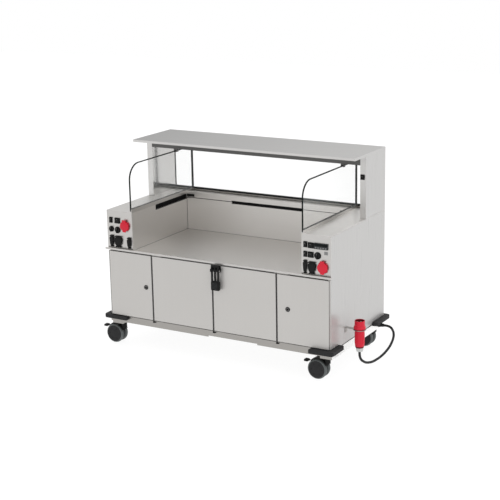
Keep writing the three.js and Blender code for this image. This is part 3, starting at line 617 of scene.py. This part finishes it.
def make_holder():
    polish("plug_holder", STEEL_BASE, 0.7)
    lo, _, mid = box_of("plug_holder")
    piece = Piece("plug_holder_screws")
    for y in (mid.y - 7 * MM, mid.y + 7 * MM):
        piece.screw((lo.x + 3.05 * MM, y, lo.z + 11 * MM), (1, 0, 0), 2.8 * MM)
    piece.done()


# ---- Cabinet ----
DOORS = ("left_door", "centre_left_door", "centre_right_door", "right_door")


def sideways(material, nearest, farthest):
    """The facings of faces that look left or right, for polish."""
    return [((side, 0, 0), material, nearest, farthest) for side in (-1, 1)]


def make_sheet_work():
    """The CAD's sheet parts, some faces in lit and shaded steel copies as painted light, a strip on the rear
    rail, and a painted shadow strip under the lamp housing's top.
    """
    anywhere, outside, inside = (-1, 900), (790, 900), (700, 780)
    # The base frame's outer sides get the pale copy: painted light.
    polish("base_frame", STEEL_BASE, 1.0, facing=sideways(STEEL_PAINTED_LIGHT, *outside))
    for side in ("left", "right"):
        # Painted light: the side panels' front edges get the pale copy as a painted highlight, and the tower
        # tops get a copy painted lighter towards the right.
        polish(side + "_side_panel", STEEL_SIDE, 1.0, facing=[(FRONT, STEEL_PAINTED_LIGHT, *anywhere)])
        polish(side + "_tower_cover", STEEL_TOWER, 0.8, facing=[(UP, STEEL_TOP_PAINTED_LIGHT, *anywhere)])
    polish("carcass", ZINC, 0.5, facing=[(BACK, STEEL_SIDE, *anywhere)])
    # The worktop's top gets the well's copy, painted lighter overall and towards the right.
    polish("worktop", STEEL_TOWER, 0.35, facing=[(UP, STEEL_WELL_PAINTED_LIGHT, *anywhere)])
    polish("well_liner", STEEL_WELL_PAINTED_LIGHT, 0.5)
    # The shelf top gets a darker copy, painted shade that lightens towards the right, and the posts' outer
    # faces get the side panels' lit shade.
    posts = sideways(STEEL_MIRROR, *inside) + sideways(STEEL_SIDE, *outside)
    polish("superstructure", STEEL_POST, 1.1, facing=[(UP, STEEL_SHELF_PAINTED_SHADE, *anywhere), *posts])
    polish("hood_beam", BEAM, 0.8)
    polish("rear_glass_rail", BLACK, 0.7)
    for name in DOORS:
        polish(name, STEEL_DOOR, 1.3)
    rail_low, rail_high, _ = box_of("rear_glass_rail")
    facing = Piece("rear_rail_facing")
    facing.block(
        (rail_low.x + MM, rail_low.y - 0.6 * MM, rail_low.z + 2 * MM),
        (rail_high.x - MM, rail_low.y + MM, rail_low.z + 11 * MM), STEEL_BASE, 0.3, 1,
    )
    facing.done()
    beam_low, beam_high, _ = box_of("hood_beam")
    # A black strip along the top of the beam's front: a painted shadow under the lamp housing's top.
    shadow = Piece("hood_beam_painted_shadow")
    shadow.block(
        (beam_low.x + MM, beam_low.y - 0.5 * MM, beam_high.z - 6 * MM),
        (beam_high.x - MM, beam_low.y + MM, beam_high.z), BLACK_SOFT, 0.2, 1,
    )
    shadow.done()


# ---- Well and glass ----
# Positions in the station's own millimetres.
WELL_FLOOR = 655.4
WELL_SIDE = 605
WELL_BACK = 650
SLIT_BOTTOM, SLIT_TOP = 870, 899
INTAKE_X = (-251, 272)
BEAD = 1.6
GLASS_X = 613
GLASS_FOOT = 926


def make_filters():
    """Black filter cassettes behind the intake slots, with fine upright fins."""
    piece = Piece("intake_filters")
    piece.slab((-600, 600), (656, 668), (862, 886), DARK_GAP)
    for x in range(INTAKE_X[0] + 4, INTAKE_X[1], 8):
        piece.slab((x, x + 2), (653.4, 656.5), (864, 884), BLACK, 0.2, 1)
    for side in (-1, 1):
        piece.slab((side * 612, side * 626), (272, WELL_BACK), (864, SLIT_TOP), DARK_GAP)
        for y in range(278, 648, 10):
            piece.slab((side * 608.6, side * 612.4), (y, y + 2.5), (866, SLIT_TOP), DARK_GAP, 0.2, 1)
    piece.done()


def make_slot_and_crease_shade():
    """Black strips round the intake slots and grey strips in the well's inside corners, both painted shade.
    """
    # Painted shade: black strips on the well walls round the intake slots, widening their dark.
    edging = Piece("intake_painted_shade")
    on_back = (WELL_BACK - 0.5, WELL_BACK + 0.2)
    for lip in ((863, 867.2), (879.8, 884)):
        edging.slab((INTAKE_X[0] - 3, INTAKE_X[1] + 3), on_back, lip, DARK_GAP, 0.1, 1)
    # Painted shade: grey strips in the well's inside corners, where the walls meet each other and the floor.
    crease_shade = Piece("well_crease_painted_shade")
    by_back = (WELL_BACK - BEAD, WELL_BACK)
    on_floor = (WELL_FLOOR, WELL_FLOOR + BEAD)
    for side in (-1, 1):
        on_side = (side * (WELL_SIDE - 0.5), side * (WELL_SIDE + 0.2))
        edging.slab(on_side, (272, WELL_BACK), (865.5, SLIT_BOTTOM + 0.2), DARK_GAP, 0.1, 1)
        edging.slab(on_side, (271, 275.2), (865.5, SLIT_TOP), DARK_GAP, 0.1, 1)
        corner = (side * (WELL_SIDE - 60), side * WELL_SIDE)
        edging.slab(corner, on_back, (882, SLIT_TOP), DARK_GAP, 0.1, 1)
        by_side = (side * (WELL_SIDE - BEAD), side * WELL_SIDE)
        crease_shade.slab(by_side, (4, WELL_BACK), on_floor, KEY_GREY, 0.4, 1)
        crease_shade.slab(by_side, by_back, (656, 862), KEY_GREY, 0.4, 1)
    crease_shade.slab((1 - WELL_SIDE, WELL_SIDE - 1), by_back, on_floor, KEY_GREY, 0.4, 1)
    edging.done()
    crease_shade.done()


def make_pane(node, flat_axis, border):
    """A glass pane whose cut edges are dark, as thick glass is when looked at edge-on, with the dark carried
    onto a band round its faces as painted shade.
    """
    part = cad_mesh(node)
    piece = Piece(node + "_pane")
    piece.take(part, GLASS)
    piece.materials.append(GLASS_EDGE)
    piece.mesh.normal_update()
    flats = [face for face in piece.mesh.faces if abs(face.normal[flat_axis]) > LOOKS_ALONG]
    for face in piece.mesh.faces:
        if face not in flats:
            face.material_index = 1
    # Painted shade: a dark band round the pane's faces beside its edges.
    rim = bmesh.ops.inset_region(piece.mesh, faces=flats, thickness=border, use_even_offset=True)
    for face in rim["faces"]:
        face.material_index = 1
    piece.done((node,))


def make_glazing():
    """The glass, its gaskets and corner seals, and the lamp and clamp screws of the lamp housing."""
    make_pane("left_side_glass", 0, 6 * MM)
    make_pane("right_side_glass", 0, 6 * MM)
    make_pane("rear_glass", 1, 2 * MM)
    trim = Piece("glass_gaskets")
    for side in (-1, 1):
        for near, far in ((605.6, 609), (617, 620.9)):
            trim.slab((side * near, side * far), (0.6, 746), (924.4, GLASS_FOOT), CHARCOAL, 0.5)
        trim.slab((side * 608.4, side * 617.6), (733, 746.8), (GLASS_FOOT, 1212), BLACK_SOFT, 1)
    trim.done()
    lamp = Piece("hood_lamp")
    lamp.slab((-700, 700), (492, 548), (1233.5, 1236.1), BRIGHT, 0.6)
    lamp.slab((-690, 690), (500, 540), (1232.6, 1233.8), LAMP, 0.5)
    clamp = 11.05
    for side in (-1, 1):
        for facing in (-1, 1):
            spot = at(side * GLASS_X + facing * clamp, 547, 1219)
            lamp.screw(spot, (facing, 0, 0), 4.2 * MM, BLACK)
    lamp.done()


# ---- Back and trim ----
BACK_WALL = 766.7
SIDE_WALL = 800
SEAMS = (-452, -3, 446)


def make_back():
    """Louvres with a dark strip in each opening as painted shade, an inspection cover and the fixing screws
    on the guest side.
    """
    piece = Piece("back_louvres")
    hood = [(-0.5, 0), (1.5, 0.6), (5.5, 5), (6, 8), (5, 9.5), (-0.5, 12)]
    for x0, x1 in ((-660, -340), (340, 660)):
        for z in range(300, 540, 24):
            outline = [(at(0, BACK_WALL + out, 0).y, (z + rise) * MM) for out, rise in hood]
            piece.prism(outline, at(x0, 0, 0).x, at(x1, 0, 0).x, 0, STEEL_SIDE, 0.8)
            # A dark strip under each louvre hood: painted shade in its opening.
            gap = (BACK_WALL, BACK_WALL + 0.5)
            piece.slab((x0 + 6, x1 - 6), gap, (z - 2.4, z + 0.2), DARK_GAP, 0.1, 1)
    piece.slab((-240, 240), (BACK_WALL, BACK_WALL + 2), (300, 560), STEEL_SIDE, 1)
    for x in (-226, 0, 226):
        for z in (314, 546):
            piece.screw(at(x, BACK_WALL + 2, z), BACK, 4 * MM)
    for x in range(-740, 741, 185):
        for z in (228, 880):
            piece.screw(at(x, BACK_WALL, z), BACK, 3.6 * MM)
    piece.done()


def make_trim():
    """Hinge straps in the gaps over and under the doors, pivot bushes, and side-panel rivets."""
    straps = Piece("hinge_straps")
    for seam in SEAMS:
        reach = (seam + 2, seam + 76)
        straps.slab(reach, (-17.5, -6), (645, 648.8), STEEL_BASE, 0.5)
        straps.slab(reach, (-18, -8.4), (210.2, 213.6), STEEL_BASE, 0.5)
        straps.slab((seam - 7, seam + 9), (-21, -8.3), (200, 209.5), BLACK, 0.8)
    straps.done()
    rivets = Piece("panel_rivets")
    for side in (-1, 1):
        for y in (40, 383, 727):
            for z in (222, 872):
                rivets.screw(at(side * SIDE_WALL, y, z), (side, 0, 0), 3 * MM)
    rivets.done()


# ---- Inner units ----
def make_inner_units():
    polish("extraction_unit", ZINC, 0.6)
    polish("power_box", ZINC, 0.6)
    make_fan()
    make_circuit_breakers()


def make_fan():
    """The fan behind its wire guard: a hub, nine twisted blades, rings and two crossed bars."""
    lo, _, mid = box_of("extraction_unit")
    fan = Piece("extraction_fan")
    hub = Vector((mid.x, lo.y + 14 * MM, mid.z))
    fan.turned([(0, 0), (30, 0), (34, 4), (34, 26), (0, 26)], hub, BACK, BLACK)
    for angle in turns(9):
        out = around_y(angle)
        side = Vector((-out.z, 0, out.x))
        part = bmesh.new()
        for reach, width, twist in ((30, 9, 2), (60, 17, 6), (88, 20, 9)):
            for s in (-1, 1):
                for depth in (0, 1.6):
                    shift = Vector((0, (12 + s * twist + depth) * MM, 0))
                    part.verts.new(hub + out * reach * MM + side * s * width * MM + shift)
        part.verts.ensure_lookup_table()
        for start in (0, 4):
            v = part.verts[start:start + 8]
            quads = ((0, 2, 6, 4), (1, 5, 7, 3), (0, 4, 5, 1), (2, 3, 7, 6))
            for quad in quads:
                part.faces.new([v[k] for k in quad])
        v = part.verts
        part.faces.new((v[0], v[1], v[3], v[2]))
        part.faces.new((v[8], v[10], v[11], v[9]))
        fan.take(part, BLACK)
    wire, reach = 1.6 * MM, 96 * MM
    centre = Vector((mid.x, lo.y - 0.2 * MM, mid.z))
    for radius in (24, 42, 60, 78, 94):
        ring(fan, centre, radius * MM, wire, BRIGHT)
    depth = Vector((0, 1.2 * MM, 0))
    for bar in (Vector((reach, 0, wire)), Vector((wire, 0, reach))):
        fan.block(centre - bar - depth, centre + bar, BRIGHT, 0.4)
    fan.done()


def make_circuit_breakers():
    """Two rows of ten circuit breakers on their rails."""
    lo, hi, mid = box_of("power_box")
    fuses = Piece("power_fuses")
    rail_y = hi.y - 12 * MM
    for z in (mid.z - 60 * MM, mid.z + 60 * MM):
        rail_high = (hi.x - 12 * MM, hi.y - 3 * MM, z + 17 * MM)
        fuses.block((lo.x + 12 * MM, rail_y, z - 17 * MM), rail_high, BRIGHT)
        for i in range(10):
            x = lo.x + (24 + 19 * i) * MM
            front = rail_y - 44 * MM
            fuses.block((x, front, z - 40 * MM), (x + 17.4 * MM, rail_y, z + 40 * MM), PALE_GREY, 1.0)
            nose = (x + MM, front - 10 * MM, z - 22 * MM), (x + 16.4 * MM, front + MM, z + 22 * MM)
            fuses.block(*nose, PALE_GREY, 1.2)
            toggle = (x + 5 * MM, front - 19 * MM, z - 5 * MM), (x + 12 * MM, front - 9 * MM, z + 9 * MM)
            fuses.block(*toggle, BLACK, 1)
    fuses.done()


def ring(piece, centre, radius, thickness, material, sides=48):
    """A wire ring around the Y axis."""
    part = bmesh.new()
    loops = []
    for angle in turns(sides):
        out = around_y(angle)
        loop = []
        for b in turns(8):
            offset = out * math.cos(b) + Vector((0, math.sin(b), 0))
            loop.append(part.verts.new(centre + out * radius + offset * thickness))
        loops.append(loop)
    for one, two in zip(loops, loops[1:] + loops[:1]):
        for k in range(8):
            j = (k + 1) % 8
            part.faces.new((one[k], one[j], two[j], two[k]))
    piece.take(part, material)


# ---- Doors' hardware ----
# The doors' depth is in the station's own millimetres, and heights are in metres over the floor.
DOOR_FRONT, DOOR_BACK = -20.5, -4.5
DOOR_BOTTOM, DOOR_TOP = 215 * MM, 644 * MM
LOCK_X = {"left_door_lock": -501, "right_door_lock": 522}
LOCK_Z = 430.5 * MM


def make_door_details():
    """Each door's inner seal, stiffeners and dark edging, and the rims of the two locks."""
    front, back = at(0, DOOR_FRONT, 0).y, at(0, DOOR_BACK, 0).y
    for name in DOORS:
        lo, hi, _ = box_of(name)
        inner_layer = Piece(name + "_lining")
        inset, seal = 7 * MM, 5 * MM
        inner_layer.border(
            (lo.x + inset, hi.x - inset), (back, back + 3 * MM), (DOOR_BOTTOM + inset, DOOR_TOP - inset),
            seal, seal, BLACK_SOFT, 1,
        )
        for share in (0.36, 0.64):
            x = lo.x + (hi.x - lo.x) * share
            rib_low = (x - 14 * MM, front + 3.2 * MM, DOOR_BOTTOM + 30 * MM)
            inner_layer.block(rib_low, (x + 14 * MM, back - 5 * MM, DOOR_TOP - 30 * MM), ZINC, 2)
        inner_layer.done(body=name)
        edging = Piece(name + "_edging")
        edging.border(
            (lo.x, hi.x), (front - 0.35 * MM, front + MM), (DOOR_BOTTOM, DOOR_TOP),
            3.2 * MM, 2.4 * MM, BLACK_SOFT, 0.3, 0.2 * MM,
        )
        edging.done(body=name)
    for name, lock_x in LOCK_X.items():
        polish(name, BLACK, 0.7)
        face = box_of(name)[0].y
        x = at(lock_x, 0, 0).x
        rim = Piece(name + "_rim")
        ring(rim, Vector((x, face + 2.6 * MM, LOCK_Z)), 14.6 * MM, 0.8 * MM, CHARCOAL, 40)
        ring(rim, Vector((x, face + 0.2 * MM, LOCK_Z)), 9.5 * MM, 0.5 * MM, BRIGHT, 40)
        rim.done(body=name)


def make_handle():
    """The handle's bracket and lever, the caps of its hinge pin, and five grip ribs."""
    polish("handle_bracket", BLACK, 0.9)
    polish("handle_lever", BLACK, 1.6, 3)
    lo, hi, mid = box_of("handle_lever")
    piece = Piece("handle_trim")
    pin = at(0, -45, 615)
    cap = [(0, 0), (5.5, 0), (5.5, 0.7), (4.5, 1.1), (0, 1.3)]
    for x, facing in ((lo.x + 0.4 * MM, -1), (hi.x - 0.4 * MM, 1)):
        start = Vector((x - facing * 0.9 * MM, pin.y, pin.z))
        piece.turned(cap, start, (facing, 0, 0), BRIGHT, 24)
    half = 18 * MM
    for z in range(500, 540, 8):
        rib_low = (mid.x - half, lo.y - 0.6 * MM, z * MM)
        piece.block(rib_low, (mid.x + half, lo.y + MM, (z + 3) * MM), CHARCOAL)
    piece.done(body="handle_lever")


# ---- Castors and bumpers ----
CASTOR_TRAIL = 56 * MM


def make_wheels(name):
    """A castor's twin wheels: treads, discs with six bosses, and the axle."""
    mid = box_of(name + "_castor_wheels")[2]
    piece = Piece(name + "_castor_tyres")
    for side in (-1, 1):
        inner = Vector((mid.x, mid.y + side * 11 * MM, mid.z))
        out = (0, side, 0)
        tread = [
            (0, 0), (46, 0), (56, 0.6), (59.6, 2.5), (61.8, 6), (62.5, 10), (62.5, 13.4), (61.6, 14),
            (61.6, 15), (62.5, 15.6), (61.6, 19), (59.4, 22.6), (56.5, 25), (54, 25.6), (53, 24.8), (0, 24.8),
        ]
        piece.turned(tread, inner, out, TYRE, 64)
        disc = [
            (0, 20), (53.4, 20), (53.4, 25.2), (52, 26.1), (48, 26.3), (45, 25.4), (27, 25), (23, 25.6),
            (21, 26.3), (12, 26.7), (0, 26.8),
        ]
        piece.turned(disc, inner, out, BLACK_SOFT, 64)
        boss = [(0, 0), (3.2, 0), (3.2, 1.1), (2.6, 1.6), (0, 1.6)]
        for angle in turns(6):
            spot = inner + around_y(angle) * 36 * MM + Vector(out) * 24.4 * MM
            piece.turned(boss, spot, out, BLACK, 16)
    axle = Vector((mid.x, mid.y - 12 * MM, mid.z))
    piece.turned([(0, 0), (5, 0), (5, 24), (0, 24)], axle, BACK, BRIGHT, 24)
    piece.done((name + "_castor_wheels",), name + "_wheels")


def make_castors():
    for name in ("front_left", "front_right", "rear_left", "rear_right"):
        polish(name + "_castor_fork", BLACK, 1.2)
        make_wheels(name)
        wheels = box_of(name + "_castor_wheels")[2]
        top = box_of(name + "_castor_fork")[1].z
        foot = Vector((wheels.x + CASTOR_TRAIL, wheels.y, top - 8 * MM))
        collar = Piece(name + "_castor_bearing")
        rings = [(0, 0), (20.4, 0), (21.2, 1.2), (21.2, 3.8), (20.4, 5), (0, 5)]
        collar.turned(rings, foot, UP, CHARCOAL)
        collar.done(body=name + "_castor")
    for name in ("front_left", "front_right"):
        polish(name + "_castor_brake", BLACK, 1.5, 3)
        lo, hi, mid = box_of(name + "_castor_brake")
        ribs = Piece(name + "_brake_ribs")
        for offset in (5, 10, 15, 20):
            x = lo.x + offset * MM
            rib_low = (x, mid.y - 12 * MM, hi.z - 0.6 * MM)
            ribs.block(rib_low, (x + 2 * MM, mid.y + 12 * MM, hi.z + 0.5 * MM), CHARCOAL)
        ribs.done(body=name + "_brake")


def make_bumpers():
    for row in ("front", "rear"):
        for side in ("left", "right"):
            name = f"{row}_{side}_bumper"
            polish(name, BLACK_SOFT, 3.5, 4)
            lo, hi, mid = box_of(name)
            piece = Piece(name + "_bolts")
            corner, sign = (lo.x, -1) if side == "left" else (hi.x, 1)
            outward, facing = (lo.y, -1) if row == "front" else (hi.y, 1)
            for share in (0.35, 0.65):
                x = corner - sign * (hi.x - lo.x) * share
                piece.screw((x, outward - facing * 0.1 * MM, mid.z), (0, facing, 0), 4.5 * MM, CHARCOAL)
            piece.done()


# ---- Controls ----
def make_rocker(node):
    """A rocker: a concave key with a mark, inside a fixed bezel that fills the CAD key's outline."""
    lo, hi, mid = box_of(node)
    border, gap = 1.8 * MM, 0.5 * MM
    left, right = lo.x + border + gap, hi.x - border - gap
    bottom, top = lo.z + border + gap, hi.z - border - gap
    key = Piece(node + "_key")
    outline = [
        (lo.y, bottom), (lo.y + 2.2 * MM, mid.z), (lo.y, top), (hi.y, top - 3 * MM), (hi.y, bottom + 3 * MM),
    ]
    key.prism(outline, left, right, 0, BLACK, 0.5)
    mark_z = mid.z + 0.25 * (top - bottom)
    mark_low = (mid.x - 0.6 * MM, lo.y + 0.75 * MM, mark_z - 3 * MM)
    mark_high = (mid.x + 0.6 * MM, lo.y + 2 * MM, mark_z + 3 * MM)
    key.block(mark_low, mark_high, MARK, 0.1)
    key.done((node,), BODY_OF[node])
    bezel = Piece(node + "_bezel")
    front, back = hi.y - 0.6 * MM, hi.y + 3.8 * MM
    bezel.border((lo.x, hi.x), (front, back), (lo.z, hi.z), border, border, BLACK)
    well_low = (lo.x + border, hi.y + 2.4 * MM, lo.z + border)
    well_high = (hi.x - border, back, hi.z - border)
    bezel.block(well_low, well_high, BLACK)
    bezel.done()


def make_knob(node):
    """A fluted knob with a grip bar and a pointer, over a scale of eleven dots."""
    lo, hi, mid = box_of(node)
    radius, depth = (hi.x - lo.x) / 2, hi.y - lo.y
    seat = Vector((mid.x, hi.y, mid.z))
    knob = Piece(node + "_cap")
    skirt = [(0, 0), (1.0, 0), (1.0, 0.12), (0.93, 0.2), (0.84, 0.24), (0.8, 0.5), (0.76, 0.54), (0, 0.54)]
    knob.turned([(r * radius, h * depth) for r, h in skirt], seat, FRONT, BLACK, 48, 1)
    flute = [(0, 0), (0.045 * radius, 0), (0.045 * radius, 0.26 * depth), (0, 0.26 * depth)]
    for angle in turns(18):
        spot = seat + around_y(angle) * 0.79 * radius - Vector((0, 0.24 * depth, 0))
        knob.turned(flute, spot, FRONT, BLACK, 8, 1)
    grip, inset = 0.16 * radius, 0.14 * radius
    grip_high = (mid.x + grip, hi.y - 0.45 * depth, hi.z - inset)
    knob.block((mid.x - grip, lo.y, lo.z + inset), grip_high, BLACK, 1)
    pointer_low = (mid.x - 0.5 * MM, lo.y - 0.05 * MM, mid.z + 0.3 * radius)
    knob.block(pointer_low, (mid.x + 0.5 * MM, lo.y + MM, hi.z - 0.2 * radius), MARK, 0.1)
    knob.done((node,), BODY_OF[node])
    dial = Piece(node + "_scale")
    middle = Vector((mid.x, STATION.y, mid.z))
    for degrees in range(-45, 226, 27):
        spot = middle + around_y(math.radians(degrees)) * (radius + 2.6 * MM)
        dial.turned([(0, 0), (0.7, 0), (0.6, 0.25), (0, 0.25)], spot, FRONT, CHARCOAL, 10)
    dial.done()


def rounded_outline(x0, x1, z0, z1, radius, steps=5):
    points = []
    for cx, cz, start in (
        (x1 - radius, z1 - radius, 0), (x0 + radius, z1 - radius, 90),
        (x0 + radius, z0 + radius, 180), (x1 - radius, z0 + radius, 270),
    ):
        for i in range(steps + 1):
            a = math.radians(start + 90 * i / steps)
            points.append((cx + radius * math.cos(a), cz + radius * math.sin(a)))
    return points


def narrowed(outline, mid_x, low, high, share):
    """The outline with its sides drawn in towards its foot, to the given share of its width."""
    return [
        (mid_x + (x - mid_x) * (share + (1 - share) * min(1.0, (z - low) / (0.7 * (high - low)))), z)
        for x, z in outline
    ]


def make_socket(node):
    """A flush socket: a flange on the panel, and a sprung lid with a round boss and grip ribs."""
    lo, hi, mid = box_of(node)
    panel = STATION.y
    width = hi.x - lo.x
    side = 0.1 * width
    flange = Piece(node + "_flange")
    outline = rounded_outline(lo.x + side, hi.x - side, lo.z - MM, hi.z + MM, 2.5 * MM)
    outline = narrowed(outline, mid.x, lo.z, hi.z, 0.6)
    flange.prism(outline, panel - 5.4 * MM, panel - 0.1 * MM, 1, BLACK, 0.8)
    foot = rounded_outline(mid.x - 0.36 * width, mid.x + 0.36 * width, lo.z - MM, lo.z + 6 * MM, MM)
    flange.prism(foot, panel - 8 * MM, panel - 0.1 * MM, 1, BLACK, 0.6)
    flange.done()
    lid = Piece(node + "_cover")
    corner = min(0.42 * width, 16 * MM)
    cover = rounded_outline(lo.x, hi.x, lo.z + 9 * MM, hi.z - 8.5 * MM, corner, 8)
    cover = narrowed(cover, mid.x, lo.z, hi.z, 0.62)
    lid.prism(cover, lo.y + 1.4 * MM, hi.y - 0.3 * MM, 1, BLACK, 1.0)
    boss = rounded_outline(
        lo.x + 0.14 * width, hi.x - 0.14 * width, lo.z + 15 * MM, hi.z - 15 * MM, 0.8 * corner, 8
    )
    boss = narrowed(boss, mid.x, lo.z, hi.z, 0.7)
    lid.prism(boss, lo.y + 0.3 * MM, lo.y + 2 * MM, 1, BLACK, 0.6)
    for i in range(3):
        z = lo.z + (10 + 2.6 * i) * MM
        low = (mid.x - 0.25 * width, lo.y + 0.6 * MM, z)
        lid.block(low, (mid.x + 0.25 * width, lo.y + 2 * MM, z + 1.3 * MM), BLACK)
    barrel = Vector((lo.x + 3 * MM, at(0, -10, 0).y, hi.z - 4 * MM))
    lid.turned(hinge_pin(width / MM - 6), barrel, (1, 0, 0), BLACK, 20)
    lid.done((node,), BODY_OF[node])


def hinge_pin(length):
    """The profile of a hinge barrel of 8 mm diameter, in millimetres."""
    return [(0, 0), (3.6, 0), (4, 0.6), (4, length - 0.6), (3.6, length), (0, length)]


def make_power_socket(node):
    """A red power socket: square flange with four screws, round collar, and its sprung lid."""
    lo, hi, mid = box_of(node)
    panel = STATION.y
    radius = (hi.x - lo.x) / 2
    centre = Vector((mid.x, panel, lo.z + radius + 6 * MM))
    flange = Piece(node + "_flange")
    reach = radius - 4 * MM
    square = rounded_outline(
        centre.x - reach, centre.x + reach, centre.z - reach, centre.z + reach, 5 * MM
    )
    flange.prism(square, panel - 3 * MM, panel - 0.1 * MM, 1, RED, 0.8)
    collar = [(0, 2.6), (0.84, 2.6), (0.84, 7.4), (0.8, 8.6), (0, 8.6)]
    flange.turned([(r * radius, h * MM) for r, h in collar], centre, FRONT, RED, 48, 1)
    hole = reach - 4 * MM
    for x in (-hole, hole):
        for z in (-hole, hole):
            flange.screw(centre + Vector((x, -3 * MM, z)), FRONT, 2.2 * MM)
    flange.done()
    lid = Piece(node + "_cover")
    dish = [
        (0, 9.2), (0.97, 9.2), (1.0, 10), (1.0, 13), (0.96, 14.8), (0.88, 15.4), (0.8, 15), (0.72, 15),
        (0.66, 16.4), (0.5, 17.4), (0, 17.8),
    ]
    lid.turned([(r * radius, h * MM) for r, h in dish], centre, FRONT, RED, 56, 1)
    lip_low = (mid.x - 13 * MM, panel - 16 * MM, lo.z + 0.3 * MM)
    lip_high = (mid.x + 13 * MM, panel - 9.6 * MM, lo.z + 14 * MM)
    lid.block(lip_low, lip_high, RED, 2.4, 3)
    neck_low = (mid.x - 12 * MM, panel - 15.6 * MM, centre.z + radius - 8 * MM)
    neck_high = (mid.x + 12 * MM, panel - 9.4 * MM, hi.z - 4 * MM)
    lid.block(neck_low, neck_high, RED, 1)
    barrel = Vector((mid.x - 14 * MM, panel - 13 * MM, hi.z - 4 * MM))
    lid.turned(hinge_pin(28), barrel, (1, 0, 0), RED, 20)
    lid.done((node,), BODY_OF[node])


def make_controller():
    """The controller's face, with a dark display window over five keys."""
    lo, hi, mid = box_of("temperature_controller")
    piece = Piece("controller_face")
    outline = rounded_outline(lo.x, hi.x, lo.z, hi.z, 3 * MM)
    piece.prism(outline, lo.y + 1.2 * MM, hi.y, 1, CHARCOAL, 0.8)
    window = rounded_outline(lo.x + 3 * MM, hi.x - 3 * MM, mid.z + MM, hi.z - 3 * MM, 1.5 * MM)
    piece.prism(window, lo.y + 0.4 * MM, lo.y + 2 * MM, 1, GLASS_EDGE, 0.4)
    for i in range(5):
        x = lo.x + (8 + 16.2 * i) * MM
        key = rounded_outline(x, x + 10 * MM, lo.z + 5 * MM, lo.z + 12 * MM, 1.5 * MM)
        piece.prism(key, lo.y, lo.y + 2 * MM, 1, KEY_GREY, 0.5)
    piece.done(("temperature_controller",))


def make_controls():
    makers = {
        "_switch": make_rocker,
        "_knob": make_knob,
        "_socket_lid": make_socket,
        "_power_lid": make_power_socket,
    }
    for node in sorted(frame["nodes"]):
        for ending, make in makers.items():
            if node.endswith(ending):
                make(node)
    make_controller()
    plate = Piece("rating_plate")
    plate.slab((756, 780), (-0.6, -0.05), (791, 811), KEY_GREY, 0.2, 1)
    plate.done()


# ---- Studio ----
def make_studio():
    n = Nodes("studio_floor")
    cloud = n.noise(n.coords, 1.5, 2.0, 0.5)
    tone = n.blend(cloud, grey(0.11), grey(0.13))
    n.set(Base_Color=tone, Roughness=0.8, Emission_Color=grey(1.0), Emission_Strength=0.91)
    data = bpy.data.meshes.new("studio_floor")
    half = 14.0
    corners = [(-half, -half, 0), (half, -half, 0), (half, half, 0), (-half, half, 0)]
    data.from_pydata(corners, [], [(0, 1, 2, 3)])
    data.materials.append(n.material)
    floor = bpy.data.objects.new("studio_floor", data)
    SCENE.collection.objects.link(floor)
    world = bpy.data.worlds.new("studio")
    SCENE.world = world
    world.use_nodes = True
    background = world.node_tree.nodes["Background"]
    background.inputs["Color"].default_value = grey(1.0)
    background.inputs["Strength"].default_value = 1.0
    for name, place, aim, size, power in (
        ("key_light", (4.2, -1.6, 3.4), (0, 0, 0.6), 2.4, 30),
        ("back_light", (2.4, 3.6, 3.0), (0, 0, 1.0), 2.4, 20),
    ):
        light = bpy.data.lights.new(name, "AREA")
        light.shape = "SQUARE"
        light.size = size
        light.energy = power
        lamp = bpy.data.objects.new(name, light)
        lamp.location = place
        lamp.rotation_euler = (Vector(aim) - Vector(place)).to_track_quat("-Z", "Y").to_euler()
        SCENE.collection.objects.link(lamp)
    SCENE.view_settings.view_transform = "Standard"


# ---- Making it ----
make_camera()
cord, cord_points = make_cord()
plug = make_plug()
gland = make_gland()
make_plug_head()
make_holder()
make_sheet_work()
make_filters()
make_slot_and_crease_shade()
make_glazing()
make_back()
make_trim()
make_inner_units()
make_door_details()
make_handle()
make_castors()
make_bumpers()
make_controls()
make_studio()
